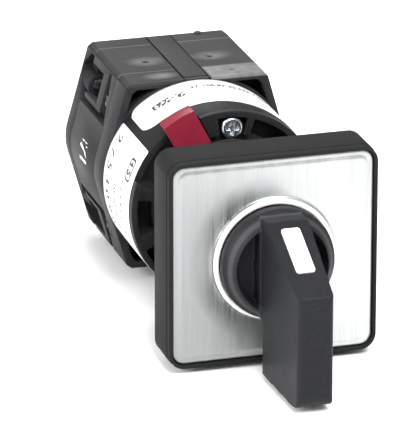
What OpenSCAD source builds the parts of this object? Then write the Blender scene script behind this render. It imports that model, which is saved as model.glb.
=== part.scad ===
// Cam switch for a round panel hole: a lever knob turns a stack of cams behind the panel.
// Frame: the origin is on the shaft axis in the plane of the panel's front face,
// +Y runs back through the panel along the shaft, +Z is up and +X is to the right seen from the front.
// All lengths are in millimetres and all angles run clockwise from the top as seen from the front.

/* [Front frame] */
// Width and height of the square front frame
bezel_w = 45; // [40:0.5:60]
// Depth of the front frame in front of the panel
bezel_depth = 10.5; // [9:0.25:14]
// Radius of the frame's four corners
bezel_corner_r = 3.4; // [2:0.2:6]
// Thickness of the frame's side walls
bezel_wall = 1.8; // [1.4:0.1:2.4]
// Thickness of the floor that carries the front plate
bezel_floor = 2.2; // [1.6:0.1:3]
// Width of the lip round the front plate
lip_w = 0.7; // [0.5:0.1:1.2]
// Depth of the slightly narrower front part of the frame
lip_depth = 1.8; // [1:0.1:3]
// Step from the front part of the frame to its full width
lip_step = 0.12; // [0.05:0.01:0.3]

/* [Front plate] */
// Thickness of the sheet metal front plate
plate_t = 0.8; // [0.5:0.1:1.2]
// How far the plate's face lies behind the frame's lip
plate_inset = 0.3; // [0.1:0.05:0.6]
// Width of the lowered border round the plate
plate_border = 1.3; // [0.8:0.1:2]
// Depth of the lowered border
plate_border_drop = 0.25; // [0.1:0.05:0.4]
// Radial width of the raised collar round the knob
collar_w = 1.1; // [0.8:0.1:1.6]
// Height of the raised collar over the plate
collar_rise = 1.2; // [0.6:0.1:1.8]

/* [Knob] */
// Radius of the knob's round base
knob_r = 12.05; // [11:0.25:14]
// Height of the knob's straight skirt
skirt_h = 2.3; // [1.5:0.1:3]
// Height of the sloped rim in front of the skirt
rim_h = 2.8; // [2:0.1:4]
// Radial width of the sloped rim
rim_w = 2.15; // [1.6:0.1:2.8]
// Depth of the two scoops beside the lever
scoop_depth = 3.3; // [2.4:0.1:3.6]
// Distance from the knob's rear face to the front of the lever
lever_len = 27.3; // [24:0.5:36]
// Width of the lever where it leaves the base
lever_w_base = 9.1; // [8.4:0.1:10]
// Width of the lever at its front
lever_w_front = 7.7; // [7:0.1:8.3]
// Height of the lever's pointer end over the axis
lever_top = 11.2; // [10.4:0.1:11.6]
// How far the lever's handle hangs below the axis
lever_drop = 22.5; // [18:0.5:28]
// Length of the upright end face at the pointer
lever_nose = 2.4; // [1:0.1:3]
// Height of the lever's front top edge over the axis
lever_brow = 1.7; // [-2:0.1:4]
// Radius of the lever's lower front corner
lever_corner_r = 3.2; // [1.5:0.1:5]
// Radius of the lever's upright front edges
lever_edge_r = 1.2; // [0.6:0.1:2]
// Width of the white pointer insert
insert_w = 4; // [3:0.1:5]
// Length of the white pointer insert
insert_len = 12.4; // [8:0.2:14]
// Thickness of the white pointer insert
insert_t = 1.2; // [0.8:0.1:1.6]
// Radius of the insert's corners
insert_corner_r = 0.7; // [0.3:0.1:1.2]

/* [Neck and nut] */
// Radius of the neck that sits in the panel hole
neck_r = 11; // [10:0.25:13]
// Length of the plain part of the neck behind the panel's front face
neck_land = 3; // [2:0.5:6]
// Length of the threaded part of the neck
thread_len = 12; // [9:1:16]
// Pitch of the neck's thread
thread_pitch = 1; // [0.75:0.25:1.5]
// Room for the panel between the front frame and the washer
panel_room = 9.2; // [6:0.2:10]
// Thickness of the washer
washer_t = 0.8; // [0.5:0.1:1.5]
// Thickness of the ring nut
nut_t = 4.4; // [3:0.2:6]
// Outer radius of the ring nut
nut_r = 14.4; // [13.5:0.1:16]
// Number of notches in the ring nut
nut_notches = 8; // [4:1:12]
// Thickness of the rubber gasket
gasket_t = 1.2; // [0.8:0.1:2]

/* [Mounting collar] */
// Distance from the panel's front face to the front of the drum
drum_setback = 22.5; // [21.5:0.5:28]
// Outer radius of the drum
drum_r = 21; // [20:0.25:23]
// Thickness of the drum's rim
rim_wall = 1.3; // [1:0.1:1.8]
// Depth of the rim of the mounting collar
collar_rim_depth = 1.9; // [1.7:0.1:3]
// Depth of the pockets in the front of the drum
pocket_depth = 4.5; // [3.5:0.1:6]
// Thickness of the mounting collar's floor
collar_floor = 1.5; // [1:0.1:2.5]
// Radius of the heads of the two collar screws
screw_head_r = 2.45; // [2:0.05:2.8]
// Radius of the shanks of the two collar screws
screw_r = 1.25; // [1:0.05:1.5]
// Angle of the first collar screw from the top
screw_angle = 4.4; // [0:0.2:6]

/* [Locking lever] */
// Width of the red locking lever
lock_w = 7.3; // [5:0.1:8]
// Angle of the locking lever in its locked place
lock_angle = -27.5; // [-30:0.5:-27]
// Swing of the locking lever when it is opened
lock_travel = 32; // [20:1:36]
// Radius of the locking lever's outer end
lock_reach = 23; // [22.8:0.1:26]
// Depth of the locking lever's finger tab
lock_tab_depth = 4; // [2.5:0.1:6]

/* [Latch housing] */
// Length of the drum from its front rim to the contact block
drum_len = 22; // [21:0.5:28]
// Thickness of the latch housing's wall
latch_wall = 2.4; // [1.8:0.1:3]
// Thickness of the latch housing's floor
latch_floor = 2; // [1.5:0.1:3]
// Number of steps in a full turn of the detent
detent_steps = 12; // [8:1:16]
// Largest radius of the detent star
star_r = 8.6; // [7.5:0.1:9]
// Height of the detent star's teeth
star_tooth = 1; // [0.5:0.1:1.5]
// Thickness of the detent star
star_t = 5; // [4:0.5:5]
// Thickness of the stop disc
stop_t = 2.4; // [1.5:0.1:3]
// Lowest angle of the knob, at position 0
turn_min = -90; // [-120:15:-30]
// Highest angle of the knob, at position 4
turn_max = 30; // [15:15:60]

/* [Contact block] */
// Height of the contact block's top over the axis
block_top = 21.3; // [20.5:0.1:24]
// Depth of the contact block's bottom under the axis
block_bottom = 20.7; // [20.5:0.1:24]
// Half width of the block along its top and bottom edges
block_end_half = 15.7; // [14:0.1:17]
// Thickness of the block's side walls at mid height, before rounding
block_side_wall = 3.3; // [3:0.1:5]
// Radius of the block's side ridges
block_ridge_r = 12; // [6:1:16]
// Length of the block's front frame
front_frame_len = 7.3; // [6.5:0.1:10]
// Length of the contact housing
housing_len = 19.2; // [19:0.2:24]
// Length of the rear cover
rear_cover_len = 4.5; // [4:0.1:7]
// Width of the strips along the block's top and bottom
strip_w = 5.3; // [4:0.1:7]
// Thickness of the strips along the block's top and bottom
strip_t = 1.1; // [0.8:0.1:1.4]

/* [Contacts] */
// Largest radius of the two cams
cam_r = 8; // [7.5:0.1:8.4]
// Thickness of a cam
cam_t = 4.4; // [3:0.1:4.6]
// Depth of the notches in the cams
cam_notch = 1.4; // [0.8:0.1:2]
// Room for a contact spring between its bridge and the side wall
spring_room = 4; // [3.6:0.1:5]
// Gap between open contacts
contact_gap = 1.1; // [0.6:0.1:1.2]
// Side of the square shaft
shaft_w = 5; // [4:0.1:5.4]
// Thickness of the contact strips
strip_metal_t = 0.8; // [0.5:0.1:1]
// Radius of the terminal screws' shanks
terminal_screw_r = 1.45; // [1.2:0.05:1.6]
// Radius of the terminal screws' heads
terminal_head_r = 2; // [1.8:0.05:2.1]

/* [Wire windows] */
// Height over the axis at which the side windows start
window_low = 9.7; // [9:0.1:11]
// Depth of the recess round the side windows
window_depth = 2.2; // [1.5:0.1:2.6]
// Height of the bar under a wire opening
window_sill = 1; // [0.7:0.1:1.5]

/* [Clearances] */
// Radial clearance of a turning journal in its bore
run_gap = 0.05; // [0.02:0.01:0.08]
// Clearance between fixed pieces that fit together
fit_gap = 0.1; // [0.05:0.01:0.15]
// Clearance between pieces that move past each other
move_gap = 0.3; // [0.2:0.05:0.4]

/* [Hidden] */

// Smoothness of round shapes
$fn = 96;
// Sides of a full circle in a computed outline
arc_steps = 96;
// How far a cut runs past the face it opens
over = 0.4;

// Frame and plate, from the front to the panel
plate_front = -bezel_depth + plate_inset;
floor_front = plate_front + plate_t;
floor_back = floor_front + bezel_floor;
bezel_front_w = bezel_w - 2 * lip_step;
plate_w = bezel_front_w - 2 * lip_w;
plate_gap = 0.15;
web_reach_share = 0.62;
web_share = 0.7;
plate_corner_r = bezel_corner_r - lip_w;
knob_overlap = 0.15;
plate_hole_r = knob_r - knob_overlap;
plate_collar_r = plate_hole_r + collar_w;
collar_front = plate_front - collar_rise;

// Knob
knob_rear = collar_front - move_gap;
skirt_front = knob_rear - skirt_h;
rim_front = skirt_front - rim_h;
rim_inner_r = knob_r - rim_w;
scoop_floor = rim_front + scoop_depth;
lever_front = knob_rear - lever_len;
lever_step = 0.4;
lever_back = rim_front - lever_step;
lever_root_half = lever_w_base / 2;
lever_tip_half = lever_w_front / 2;
slant_rise = lever_top - lever_brow;
brow_set_back = 0.2;
brow_drop = 0.8;
brow_y = lever_front + brow_set_back;
slant_run = rim_front - lever_nose - brow_y;
slant_angle = atan2(slant_rise, slant_run);
insert_start = 2.1;
insert_proud = 0.1;
foot_step = 0.4;
foot_drop = 0.3;
scoop_taper = 0.9;
knob_hub_rise = 1.2;
knob_hub_share = 0.75;

// Neck, washer and nut
bush_front_r = plate_hole_r - move_gap;
bush_front = collar_front + move_gap;
bush_flange_w = 3.5;
bush_flange_r = neck_r + bush_flange_w;
bush_flange_t = 1.2;
shoulder_w = 0.6;
neck_inner_r = neck_r + shoulder_w;
thread_step = 0.15;
thread_crest_r = neck_r - thread_step;
thread_root_r = thread_crest_r - thread_pitch / 2;
thread_end = neck_land + thread_len;
plug_step = 0.8;
plug_r = neck_r - plug_step;
plug_len = 5;
bush_end = thread_end + plug_len;
hub_inner_r = neck_inner_r + fit_gap;
gasket_w = 3.5;
gasket_inner_r = hub_inner_r;
gasket_outer_r = gasket_inner_r + gasket_w;
hub_wall = 0.5;
washer_margin = 0.4;
washer_r = nut_r + washer_margin;
washer_back = panel_room + washer_t;
nut_back = washer_back + nut_t;
nut_bore_r = thread_crest_r + fit_gap;
nut_notch_w = 3.4;
nut_notch_d = 1.6;
nut_notch_share = 0.35;

// Spindle in the neck
spindle_r = 5.95;
spindle_bore_r = spindle_r + run_gap;
drive_w = 7;
drive_depth = 4.7;
drive_front = knob_rear - drive_depth;
socket_gap = 0.15;
socket_w = shaft_w + socket_gap;
socket_lead = 1;
socket_front = thread_end - socket_lead;
seal_section_r = 0.9;
seal_groove_r = spindle_bore_r + 2 * seal_section_r + fit_gap;
seal_offset = 1.4;
seal_y = floor_back + seal_offset;
clip_t = 0.8;
clip_groove = 0.7;
clip_rise = 1.25;
clip_inner_r = spindle_r - clip_groove;
clip_outer_r = spindle_r + clip_rise;
clip_mouth_share = 0.6;
clip_depth_share = 0.8;
clip_front = bush_end + fit_gap;
spindle_tail = 1;
spindle_end = clip_front + clip_t + spindle_tail;
knob_screw_r = 1.45;
knob_screw_head_r = 2.45;
knob_screw_head_t = 1.8;
knob_screw_grip = 2.6;
knob_screw_tip = drive_front - knob_screw_grip;
end_play = 0.4;
shaft_tail = 2.6;

recess_depth = 1;
recess_arm = 2.8;
recess_web = 0.7;

// Mounting collar and drum
drum_front = drum_setback;
rim_inner = drum_r - rim_wall;
screw_head_t = 1.7;
collar_rim_back = drum_front + collar_rim_depth;
collar_floor_front = drum_front + pocket_depth;
collar_floor_back = collar_floor_front + collar_floor;
collar_body_r = rim_inner - move_gap;
collar_hub_wall = 2.2;
collar_hub_r = plug_r + collar_hub_wall;
collar_hub_front = max(nut_back + end_play, thread_end);
clip_room = 1;
collar_throat_r = clip_outer_r + clip_room;
screw_rim_gap = 0.15;
screw_circle_r = rim_inner - screw_head_r - screw_rim_gap;
screw_wall = 0.6;
screw_boss_r = screw_head_r + screw_wall;
screw_sink = 0.3;
screw_seat = drum_front + screw_head_t + screw_sink;
screw_len = 9;
screw_end = screw_seat + screw_len;
screw_dome = 0.4;
screw_dome_w = 0.5;
// Ribs between the pockets, each from one angle to another
rib_spans = [
    [-16, -6], [14, 18], [48, 58], [80, 90], [110, 120], [140, 150],
    [164, 174], [194, 198], [215, 225], [245, 255], [279, 289]
];

// Locking lever
lock_ring_gap = 0.2;
lock_ring_r = collar_hub_r + lock_ring_gap;
lock_ring_outer_r = screw_circle_r - screw_head_r - lock_ring_gap - fit_gap;
lock_front = drum_front + fit_gap;
lock_arm_t = collar_rim_depth - move_gap;
lock_lip = 0.8;
lock_lip_r = lock_ring_outer_r + fit_gap;
lock_tab_gap = 0.4;
lock_tab_inner_r = drum_r + lock_tab_gap;
lever_slot_w = lock_w + 2 * move_gap;
pocket_step = 1.7;
pocket_inner_r = lock_ring_outer_r + pocket_step;

// Latch housing and what turns in it
latch_front = collar_rim_back + fit_gap;
block_front = drum_front + drum_len;
recess_gap = 0.15;
latch_recess_r = collar_body_r + recess_gap;
latch_floor_front = collar_floor_back + fit_gap;
latch_floor_back = latch_floor_front + latch_floor;
chamber_r = drum_r - latch_wall;
star_hub_r = 6;
star_front = latch_floor_back + end_play;
star_back = star_front + star_t;
detent_y = (star_front + star_back) / 2;
crest_gap = 0.25;
plunger_tip = star_r + crest_gap;
detent_nose_r = 1.9;
detent_half_w = 2.9;
detent_len = 5.6;
detent_guide_t = 1.2;
detent_guide_gap = 1;
detent_guide_in = star_r + detent_guide_gap;
detent_spring_r = 1.5;
stop_front = star_back + end_play;
stop_back = stop_front + stop_t;
stop_disc_r = 9;
stop_lug_r = 12.8;
stop_lug_half = 9;
stop_post_half = 7;
stop_slack = 0.5;
stop_ring_r = 13.2;
stop_ring_wall = 1.1;
stop_room = 1;
spacer_r = 4.4;
bolt_r = 1.25;
bolt_circle_r = 17;
bolt_head_r = 2;
bolt_boss_r = 2.6;
bolt_inset = 1.2;
bolt_head_seat = 2.2;
bolt_head_inset = 0.5;
label_t = 0.15;
label_gap = 0.2;
upper_label_w = 14.7;
upper_label_from = -46.5;
upper_label_to = 72;
side_label_from = -142;
side_label_to = -52;

// Contact block, from front to back
frame_back = block_front + front_frame_len;
housing_back = frame_back + housing_len;
block_back = housing_back + rear_cover_len;
middle_y = (frame_back + housing_back) / 2;
web_t = 0.8;
plane_front_y = (frame_back + middle_y) / 2;
plane_rear_y = (middle_y + housing_back) / 2;
cam_hub_r = 7;
cam_room = 1.2;
cam_cavity_r = cam_r + cam_room;
cam_notch_r = 3;
rear_hub_r = 5;
corner_chamfer = 0.9;
frame_pocket_depth = 5.8;
frame_pocket_wall = 1.4;
drum_clear = 0.6;
frame_web_share = 0.5;
frame_mark_x = 9;
frame_mark_y = 4.1;
frame_mark_r = 0.7;
mark_depth = 1.1;
mark_r = 0.8;
mark_shift = 1.9;
dish_r = 5;
dish_depth = 0.3;
strip_start = 1.6;
strip_end_gap = 0.5;
nub_r = 0.8;
nub_h = 0.35;

// Moving contacts, measured outwards from the axis
chamber_wall = 1.4;
chamber_in = cam_cavity_r + chamber_wall;
chamber_half_h = 9.2;
fixed_tab_in = chamber_in + move_gap;
fixed_tab_out = fixed_tab_in + strip_metal_t;
tip_t = 0.4;
tip_r = 1.5;
tip_z = 7;
bridge_in = fixed_tab_out + 2 * tip_t + contact_gap;
bridge_out = bridge_in + strip_metal_t;
chamber_out = bridge_out + spring_room;
block_mid_half = chamber_out + block_side_wall;
bridge_half_h = 8.4;
bridge_half_w = 1.8;
plunger_in = cam_r + crest_gap;
plunger_nose_share = 0.8;
plunger_half_w = 1.9;
plunger_half_h = 2.3;
stem_r = 0.8;
stem_len = 1.4;
spring_wire_r = 0.25;
contact_spring_r = 1.5;
spring_pitch = 1;

// Terminals: the front plane's screws lie outside, the rear plane's screws lie inside
outer_screw_z = 13.2;
outer_screw_inset = 2.88;
outer_screw_x = side_x(outer_screw_z) - outer_screw_inset;
screw_spacing = 4.9;
screw_offset = 2.2;
inner_screw_x = outer_screw_x - screw_spacing;
inner_screw_z = outer_screw_z + screw_offset;
tube_wall = 0.6;
tube_r = terminal_head_r + tube_wall;
tube_inner_r = terminal_head_r + fit_gap;
tube_reach = 2.2;
driver_r = 1.5;
clamp_w = 3.8;
clamp_h = 4.8;
clamp_t = 1.8;
wire_gap = 2;
terminal_head_t = 1.7;
terminal_slot_w = 0.7;
terminal_slot_depth = 0.8;
terminal_shank = strip_metal_t + wire_gap + clamp_t + 2 * fit_gap;
rear_plate_offset = 1.4;
rear_plate_y = plane_rear_y + rear_plate_offset;
plate_half = 1.9;

// Wire windows, as places along the block
terminal_bay = 5.2;
window_bar_w = 3.4;
window_bar_front = frame_back + terminal_bay;
front_plate_y = window_bar_front - strip_metal_t - fit_gap;
window_hole_front = window_bar_front + window_bar_w;
window_rear_wall = 1.9;
window_hole_back = housing_back - window_rear_wall;
window_head = 1.2;
window_top = block_top - window_head;
hole_head = 2.6;
hole_top = block_top - hole_head;
window_step = 0.5;
window_tip_z = 16.6;
skin_flare_share = 0.2;

// Plain shapes

// A solid between two planes across the shaft, from an outline drawn in x and z.
module slab(y0, y1) {
    translate([0, y1, 0])
        rotate([90, 0, 0])
            linear_extrude(height = y1 - y0)
                children();
}

// A round bar on the shaft axis.
module rod(y0, y1, r) {
    translate([0, y0, 0])
        rotate([-90, 0, 0])
            cylinder(h = y1 - y0, r = r);
}

// A round bar beside the shaft axis.
module rod_at(x, z, y0, y1, r) {
    translate([x, 0, z])
        rod(y0, y1, r);
}

// A ring on the shaft axis.
module ring(y0, y1, outer, inner) {
    difference() {
        rod(y0, y1, outer);
        rod(y0 - over, y1 + over, inner);
    }
}

// A bar with rectangular section along the shaft, centred on a point across it.
module bar(x, z, w, h, y0, y1) {
    translate([x - w / 2, y0, z - h / 2])
        cube([w, y1 - y0, h]);
}

// A box between two corners.
module box(a, b) {
    translate([min(a[0], b[0]), min(a[1], b[1]), min(a[2], b[2])])
        cube([abs(b[0] - a[0]), abs(b[1] - a[1]), abs(b[2] - a[2])]);
}

// Turns what is at the top clockwise, seen from the front.
module turned(angle) {
    rotate([0, angle, 0])
        children();
}

// A square outline with round corners.
module rounded_square(w, r) {
    translate([-w / 2 + r, -w / 2])
        square([w - 2 * r, w]);
    translate([-w / 2, -w / 2 + r])
        square([w, w - 2 * r]);
    for (sx = [-1, 1], sz = [-1, 1])
        translate([sx * (w / 2 - r), sz * (w / 2 - r)])
            circle(r = r);
}

// A rectangular outline with round corners.
module rounded_rect(w, h, r) {
    translate([-w / 2 + r, -h / 2])
        square([w - 2 * r, h]);
    translate([-w / 2, -h / 2 + r])
        square([w, h - 2 * r]);
    for (sx = [-1, 1], sz = [-1, 1])
        translate([sx * (w / 2 - r), sz * (h / 2 - r)])
            circle(r = r);
}

// Points of an arc round a centre, as x and z, by angle from the top.
function arc(cx, cz, r, a0, a1, n) =
    [for (k = [0:n]) [cx + r * sin(a0 + (a1 - a0) * k / n), cz + r * cos(a0 + (a1 - a0) * k / n)]];

// A pie slice between two angles, as an outline.
module wedge(r, a0, a1) {
    polygon(concat([[0, 0]], arc(0, 0, r, a0, a1, 12)));
}

// Half width of the block at a height over the axis, along its slanted side.
function side_x(z) = block_end_half + (block_mid_half - block_end_half) * (1 - z / block_top);

// Half of the block's outline: top corner, rounded side ridge and bottom corner.
function lean(end_z) = atan2(block_mid_half - block_end_half, end_z);
function ridge_x() = block_mid_half - block_ridge_r / cos((lean(block_top) + lean(block_bottom)) / 2);
function half_outline(inset) =
    let (
        end_x = block_end_half - inset,
        top = block_top - inset,
        bottom = block_bottom - inset,
        cut = corner_chamfer,
        up = lean(block_top),
        down = lean(block_bottom)
    )
    concat(
        [[end_x - cut, top], [end_x + cut * sin(up), top - cut * cos(up)]],
        arc(ridge_x(), 0, block_ridge_r - inset, 90 - up, 90 + down, 8),
        [[end_x + cut * sin(down), -bottom + cut * cos(down)], [end_x - cut, -bottom]]
    );
module block_outline(inset) {
    points = half_outline(inset);
    count = len(points);
    mirrored = [for (k = [count - 1:-1:0]) [-points[k][0], points[k][1]]];
    polygon(concat(points, mirrored));
}

// The number of whole turns that a coil spring has room for.
function turns_in(length) = max(1, floor((length - 2 * spring_wire_r) / spring_pitch));

// The middle line of a coil spring along x.
function coil_path(length, coil_r, wire_r, turns, per_turn) = [
    for (i = [0:per_turn * turns])
        let (a = 360 * i / per_turn)
        [wire_r + (length - 2 * wire_r) * i / (per_turn * turns), coil_r * sin(a), coil_r * cos(a)]
];

// The smallest distance between the wire of one turn and that of the next.
function least_gap(path, wire_r, per_turn) = min([
    for (i = [0:len(path) - 1], j = [0:len(path) - 1])
        if (j >= i + per_turn / 2) norm(path[j] - path[i])
]) - 2 * wire_r;

// A coil spring along x as one unbroken tube: its rings stand across the middle line.
module coil(length, coil_r, wire_r, turns) {
    per_turn = 8;
    sides = 6;
    path = coil_path(length, coil_r, wire_r, turns, per_turn);
    rings = len(path) - 1;
    points = [
        for (i = [0:rings], j = [0:sides - 1])
            let (a = 360 * i / per_turn, b = 360 * j / sides)
            path[i] + wire_r * [sin(b), cos(b) * sin(a), cos(b) * cos(a)]
    ];
    faces = concat(
        [[for (j = [0:sides - 1]) j]],
        [
            for (i = [0:rings - 1], j = [0:sides - 1])
                let (p = i * sides + j, q = i * sides + (j + 1) % sides)
                each [[p, p + sides, q + sides], [p, q + sides, q]]
        ],
        [[for (j = [sides - 1:-1:0]) rings * sides + j]]
    );
    echo(str("least gap between the turns of a spring in mm: ", least_gap(path, wire_r, per_turn)));
    polyhedron(points = points, faces = faces);
}

// Puts a shape made for the right, upper corner into one of the four corners.
module corner(sx, sz) {
    mirror([sx < 0 ? 1 : 0, 0, 0])
        mirror([0, 0, sz < 0 ? 1 : 0])
            children();
}

// Knob and what turns with it

// The lever's side view, drawn in depth and height.
module lever_profile() {
    polygon(concat(
        [[scoop_floor, lever_top], [rim_front - lever_nose, lever_top]],
        [[brow_y, lever_brow], [lever_front, lever_brow - brow_drop]],
        [for (k = [0:6])
            [lever_front + lever_corner_r * (1 - cos(15 * k)),
             -lever_drop + lever_corner_r * (1 - sin(15 * k))]],
        [[lever_back, -lever_drop], [lever_back, -knob_r + rim_w / 2], [scoop_floor, -knob_r + rim_w / 2]]
    ));
}

// The lever seen from above: it narrows towards its front and its front edges are round.
module lever_plan() {
    tip = lever_tip_half - lever_edge_r;
    polygon([
        [-lever_root_half, scoop_floor],
        [-lever_root_half, rim_front - lever_nose],
        [-lever_tip_half, lever_front + lever_edge_r],
        [lever_tip_half, lever_front + lever_edge_r],
        [lever_root_half, rim_front - lever_nose],
        [lever_root_half, scoop_floor]
    ]);
    translate([-tip, lever_front])
        square([2 * tip, 2 * lever_edge_r]);
    for (side = [-1, 1])
        translate([side * tip, lever_front + lever_edge_r])
            circle(r = lever_edge_r);
}

module lever_body() {
    intersection() {
        rotate([0, 90, 0])
            rotate([0, 0, 90])
                linear_extrude(height = 2 * lever_root_half, center = true)
                    lever_profile();
        translate([0, 0, -lever_drop - over])
            linear_extrude(height = lever_drop + lever_top + 2 * over)
                lever_plan();
    }
}

// Places a shape on the lever's sloping face: its own z axis stands out of the face.
module on_slant() {
    translate([0, rim_front - lever_nose, lever_top])
        rotate([slant_angle, 0, 0])
            children();
}

module knob() {
    color([0.16, 0.16, 0.17])
        difference() {
            union() {
                difference() {
                    union() {
                        rod(skirt_front, knob_rear, knob_r);
                        translate([0, rim_front, 0])
                            rotate([-90, 0, 0])
                                cylinder(h = rim_h, r1 = rim_inner_r, r2 = knob_r);
                    }
                    translate([0, rim_front - over, 0])
                        rotate([-90, 0, 0])
                            cylinder(h = scoop_depth + over, r1 = rim_inner_r, r2 = rim_inner_r - scoop_taper);
                }
                lever_body();
                intersection() {
                    rod(lever_back - over / 2, scoop_floor + over, rim_inner_r);
                    bar(0, 0, lever_w_base + 2 * foot_step, 2 * rim_inner_r, rim_front + foot_drop,
                        scoop_floor + over);
                }
                rod(scoop_floor - knob_hub_rise, knob_rear, drive_w * knob_hub_share);
            }
            bar(0, 0, drive_w + fit_gap, drive_w + fit_gap, drive_front - fit_gap, knob_rear + over);
            rod(knob_screw_tip - over, drive_front, knob_screw_r + run_gap);
            on_slant()
                translate([0, -insert_start - insert_len / 2, -insert_t])
                    linear_extrude(height = insert_t + over)
                        rounded_rect(insert_w + fit_gap, insert_len + fit_gap, insert_corner_r);
        }
}

module pointer_insert() {
    color([0.95, 0.95, 0.94])
        on_slant()
            translate([0, -insert_start - insert_len / 2, -insert_t + fit_gap / 2])
                linear_extrude(height = insert_t + insert_proud)
                    rounded_rect(insert_w, insert_len, insert_corner_r);
}

module front_spindle() {
    color([0.72, 0.7, 0.64])
        difference() {
            union() {
                rod(bush_front, spindle_end, spindle_r);
                bar(0, 0, drive_w, drive_w, drive_front, bush_front + over);
            }
            rod(drive_front - over, spindle_end + over, knob_screw_r + socket_gap);
            bar(0, 0, socket_w, socket_w, socket_front, spindle_end + over);
            ring(clip_front - run_gap, clip_front + clip_t + run_gap, spindle_r + over, clip_inner_r);
        }
}

module knob_screw() {
    color([0.75, 0.76, 0.78])
        difference() {
            union() {
                rod(knob_screw_tip, socket_front + over, knob_screw_r);
                rod(socket_front, socket_front + knob_screw_head_t, knob_screw_head_r);
            }
            cross_recess(0, 0, socket_front + knob_screw_head_t, -1);
        }
}

// A cross recess for a driver, cut into a screw head that faces along the shaft.
module cross_recess(x, z, face_y, into) {
    for (w = [[recess_arm, recess_web], [recess_web, recess_arm]])
        bar(x, z, w[0], w[1], min(face_y - into * over, face_y + into * recess_depth),
            max(face_y - into * over, face_y + into * recess_depth));
}

module spindle_clip() {
    color([0.55, 0.56, 0.58])
        difference() {
            ring(clip_front, clip_front + clip_t, clip_outer_r, clip_inner_r + run_gap);
            bar(0, -clip_outer_r, 2 * clip_inner_r * clip_mouth_share, 2 * clip_outer_r * clip_depth_share,
                clip_front - over, clip_front + clip_t + over);
        }
}

module switch_shaft() {
    color([0.7, 0.71, 0.73])
        bar(0, 0, shaft_w, shaft_w, socket_front + knob_screw_head_t + end_play, housing_back + shaft_tail);
}

// The square hole in every piece that the shaft drives.
module shaft_hole(y0, y1) {
    bar(0, 0, shaft_w + fit_gap, shaft_w + fit_gap, y0 - over, y1 + over);
}

module detent_star() {
    mean_r = star_r - star_tooth / 2;
    outline = [
        for (k = [0:8 * detent_steps - 1])
            let (
                a = 360 * k / (8 * detent_steps),
                r = mean_r - star_tooth / 2 * cos(detent_steps * (a - 90))
            )
            [r * sin(a), r * cos(a)]
    ];
    color([0.86, 0.84, 0.78])
        difference() {
            union() {
                slab(star_front, star_back)
                    polygon(outline);
                rod(latch_floor_front - fit_gap, star_front + over, star_hub_r);
            }
            shaft_hole(latch_floor_front - fit_gap, star_back);
        }
}

module stop_disc() {
    color([0.3, 0.42, 0.6])
        difference() {
            union() {
                rod(stop_front, stop_back, stop_disc_r);
                slab(stop_front, stop_back)
                    wedge(stop_lug_r, -stop_lug_half, stop_lug_half);
            }
            shaft_hole(stop_front, stop_back);
        }
}

module shaft_spacer() {
    color([0.62, 0.6, 0.55])
        difference() {
            rod(stop_back + fit_gap, block_front - fit_gap, spacer_r);
            shaft_hole(stop_back, block_front);
        }
}

// A cam with a hub on each side and a notch for each of its two plungers.
module cam(y, hub_front, hub_front_r, hub_back, hub_back_r, notches) {
    difference() {
        union() {
            rod(y - cam_t / 2, y + cam_t / 2, cam_r);
            rod(hub_front, y, hub_front_r);
            rod(y, hub_back, hub_back_r);
        }
        for (a = notches)
            turned(a)
                rod_at(0, cam_r + cam_notch_r - cam_notch, y - cam_t / 2 - over, y + cam_t / 2 + over,
                       cam_notch_r);
        shaft_hole(hub_front, hub_back);
    }
}

module cam_front() {
    color([0.9, 0.88, 0.8])
        cam(plane_front_y, block_front + fit_gap, cam_hub_r, middle_y - fit_gap / 2, rear_hub_r, [150, -60]);
}

module cam_rear() {
    color([0.82, 0.86, 0.8])
        cam(plane_rear_y, middle_y + fit_gap / 2, rear_hub_r, housing_back + shaft_tail - 2 * fit_gap,
            rear_hub_r, [90, -120]);
}

// Locking lever

module lock_lever() {
    arm_back = lock_front + lock_arm_t;
    color([0.68, 0.12, 0.22])
        turned(lock_angle)
            union() {
                ring(lock_front + fit_gap, arm_back, lock_ring_outer_r, lock_ring_r);
                intersection() {
                    union() {
                        bar(0, (lock_ring_outer_r + lock_reach) / 2 - over, lock_w,
                            lock_reach - lock_ring_outer_r + 4 * over, lock_front, arm_back);
                        difference() {
                            bar(0, lock_tab_inner_r, lock_w, 2 * (lock_reach - lock_tab_inner_r + over),
                                lock_front, lock_front + lock_tab_depth);
                            rod(lock_front - over, lock_front + lock_tab_depth + over, lock_tab_inner_r);
                        }
                    }
                    rod(lock_front - over, lock_front + lock_tab_depth + over, lock_reach);
                }
            }
}

// Front unit that stays still

module bezel() {
    hub_r = gasket_outer_r + hub_wall;
    web_reach = bezel_w * web_reach_share;
    color([0.27, 0.27, 0.28])
        difference() {
            union() {
                slab(-bezel_depth, -bezel_depth + lip_depth)
                    rounded_square(bezel_front_w, bezel_corner_r);
                slab(-bezel_depth + lip_depth, 0)
                    rounded_square(bezel_w, bezel_corner_r);
            }
            slab(-bezel_depth - over, floor_front)
                rounded_square(plate_w, plate_corner_r);
            difference() {
                slab(floor_back, over)
                    rounded_square(bezel_w - 2 * bezel_wall, bezel_corner_r - bezel_wall / 2);
                rod(floor_back - over, 2 * over, hub_r);
                for (a = [45:90:315])
                    turned(a)
                        bar(0, (hub_r + web_reach) / 2, bezel_wall * web_share, web_reach - hub_r + 2 * over,
                            floor_back - over, -gasket_t);
            }
            rod(floor_front - over, 2 * over, hub_inner_r);
            rod(floor_front - over, floor_front + bush_flange_t, bush_flange_r + fit_gap);
            rod(-gasket_t, over, gasket_outer_r);
        }
}

module front_plate() {
    width = plate_w - 2 * plate_gap;
    color([0.84, 0.86, 0.86])
        difference() {
            union() {
                slab(plate_front + plate_border_drop, floor_front)
                    rounded_square(width, plate_corner_r - plate_gap);
                slab(plate_front, floor_front)
                    rounded_square(width - 2 * plate_border, plate_corner_r - plate_gap - plate_border / 2);
                rod(collar_front, floor_front, plate_collar_r);
            }
            rod(collar_front - over, floor_front + over, plate_hole_r);
        }
}

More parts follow.
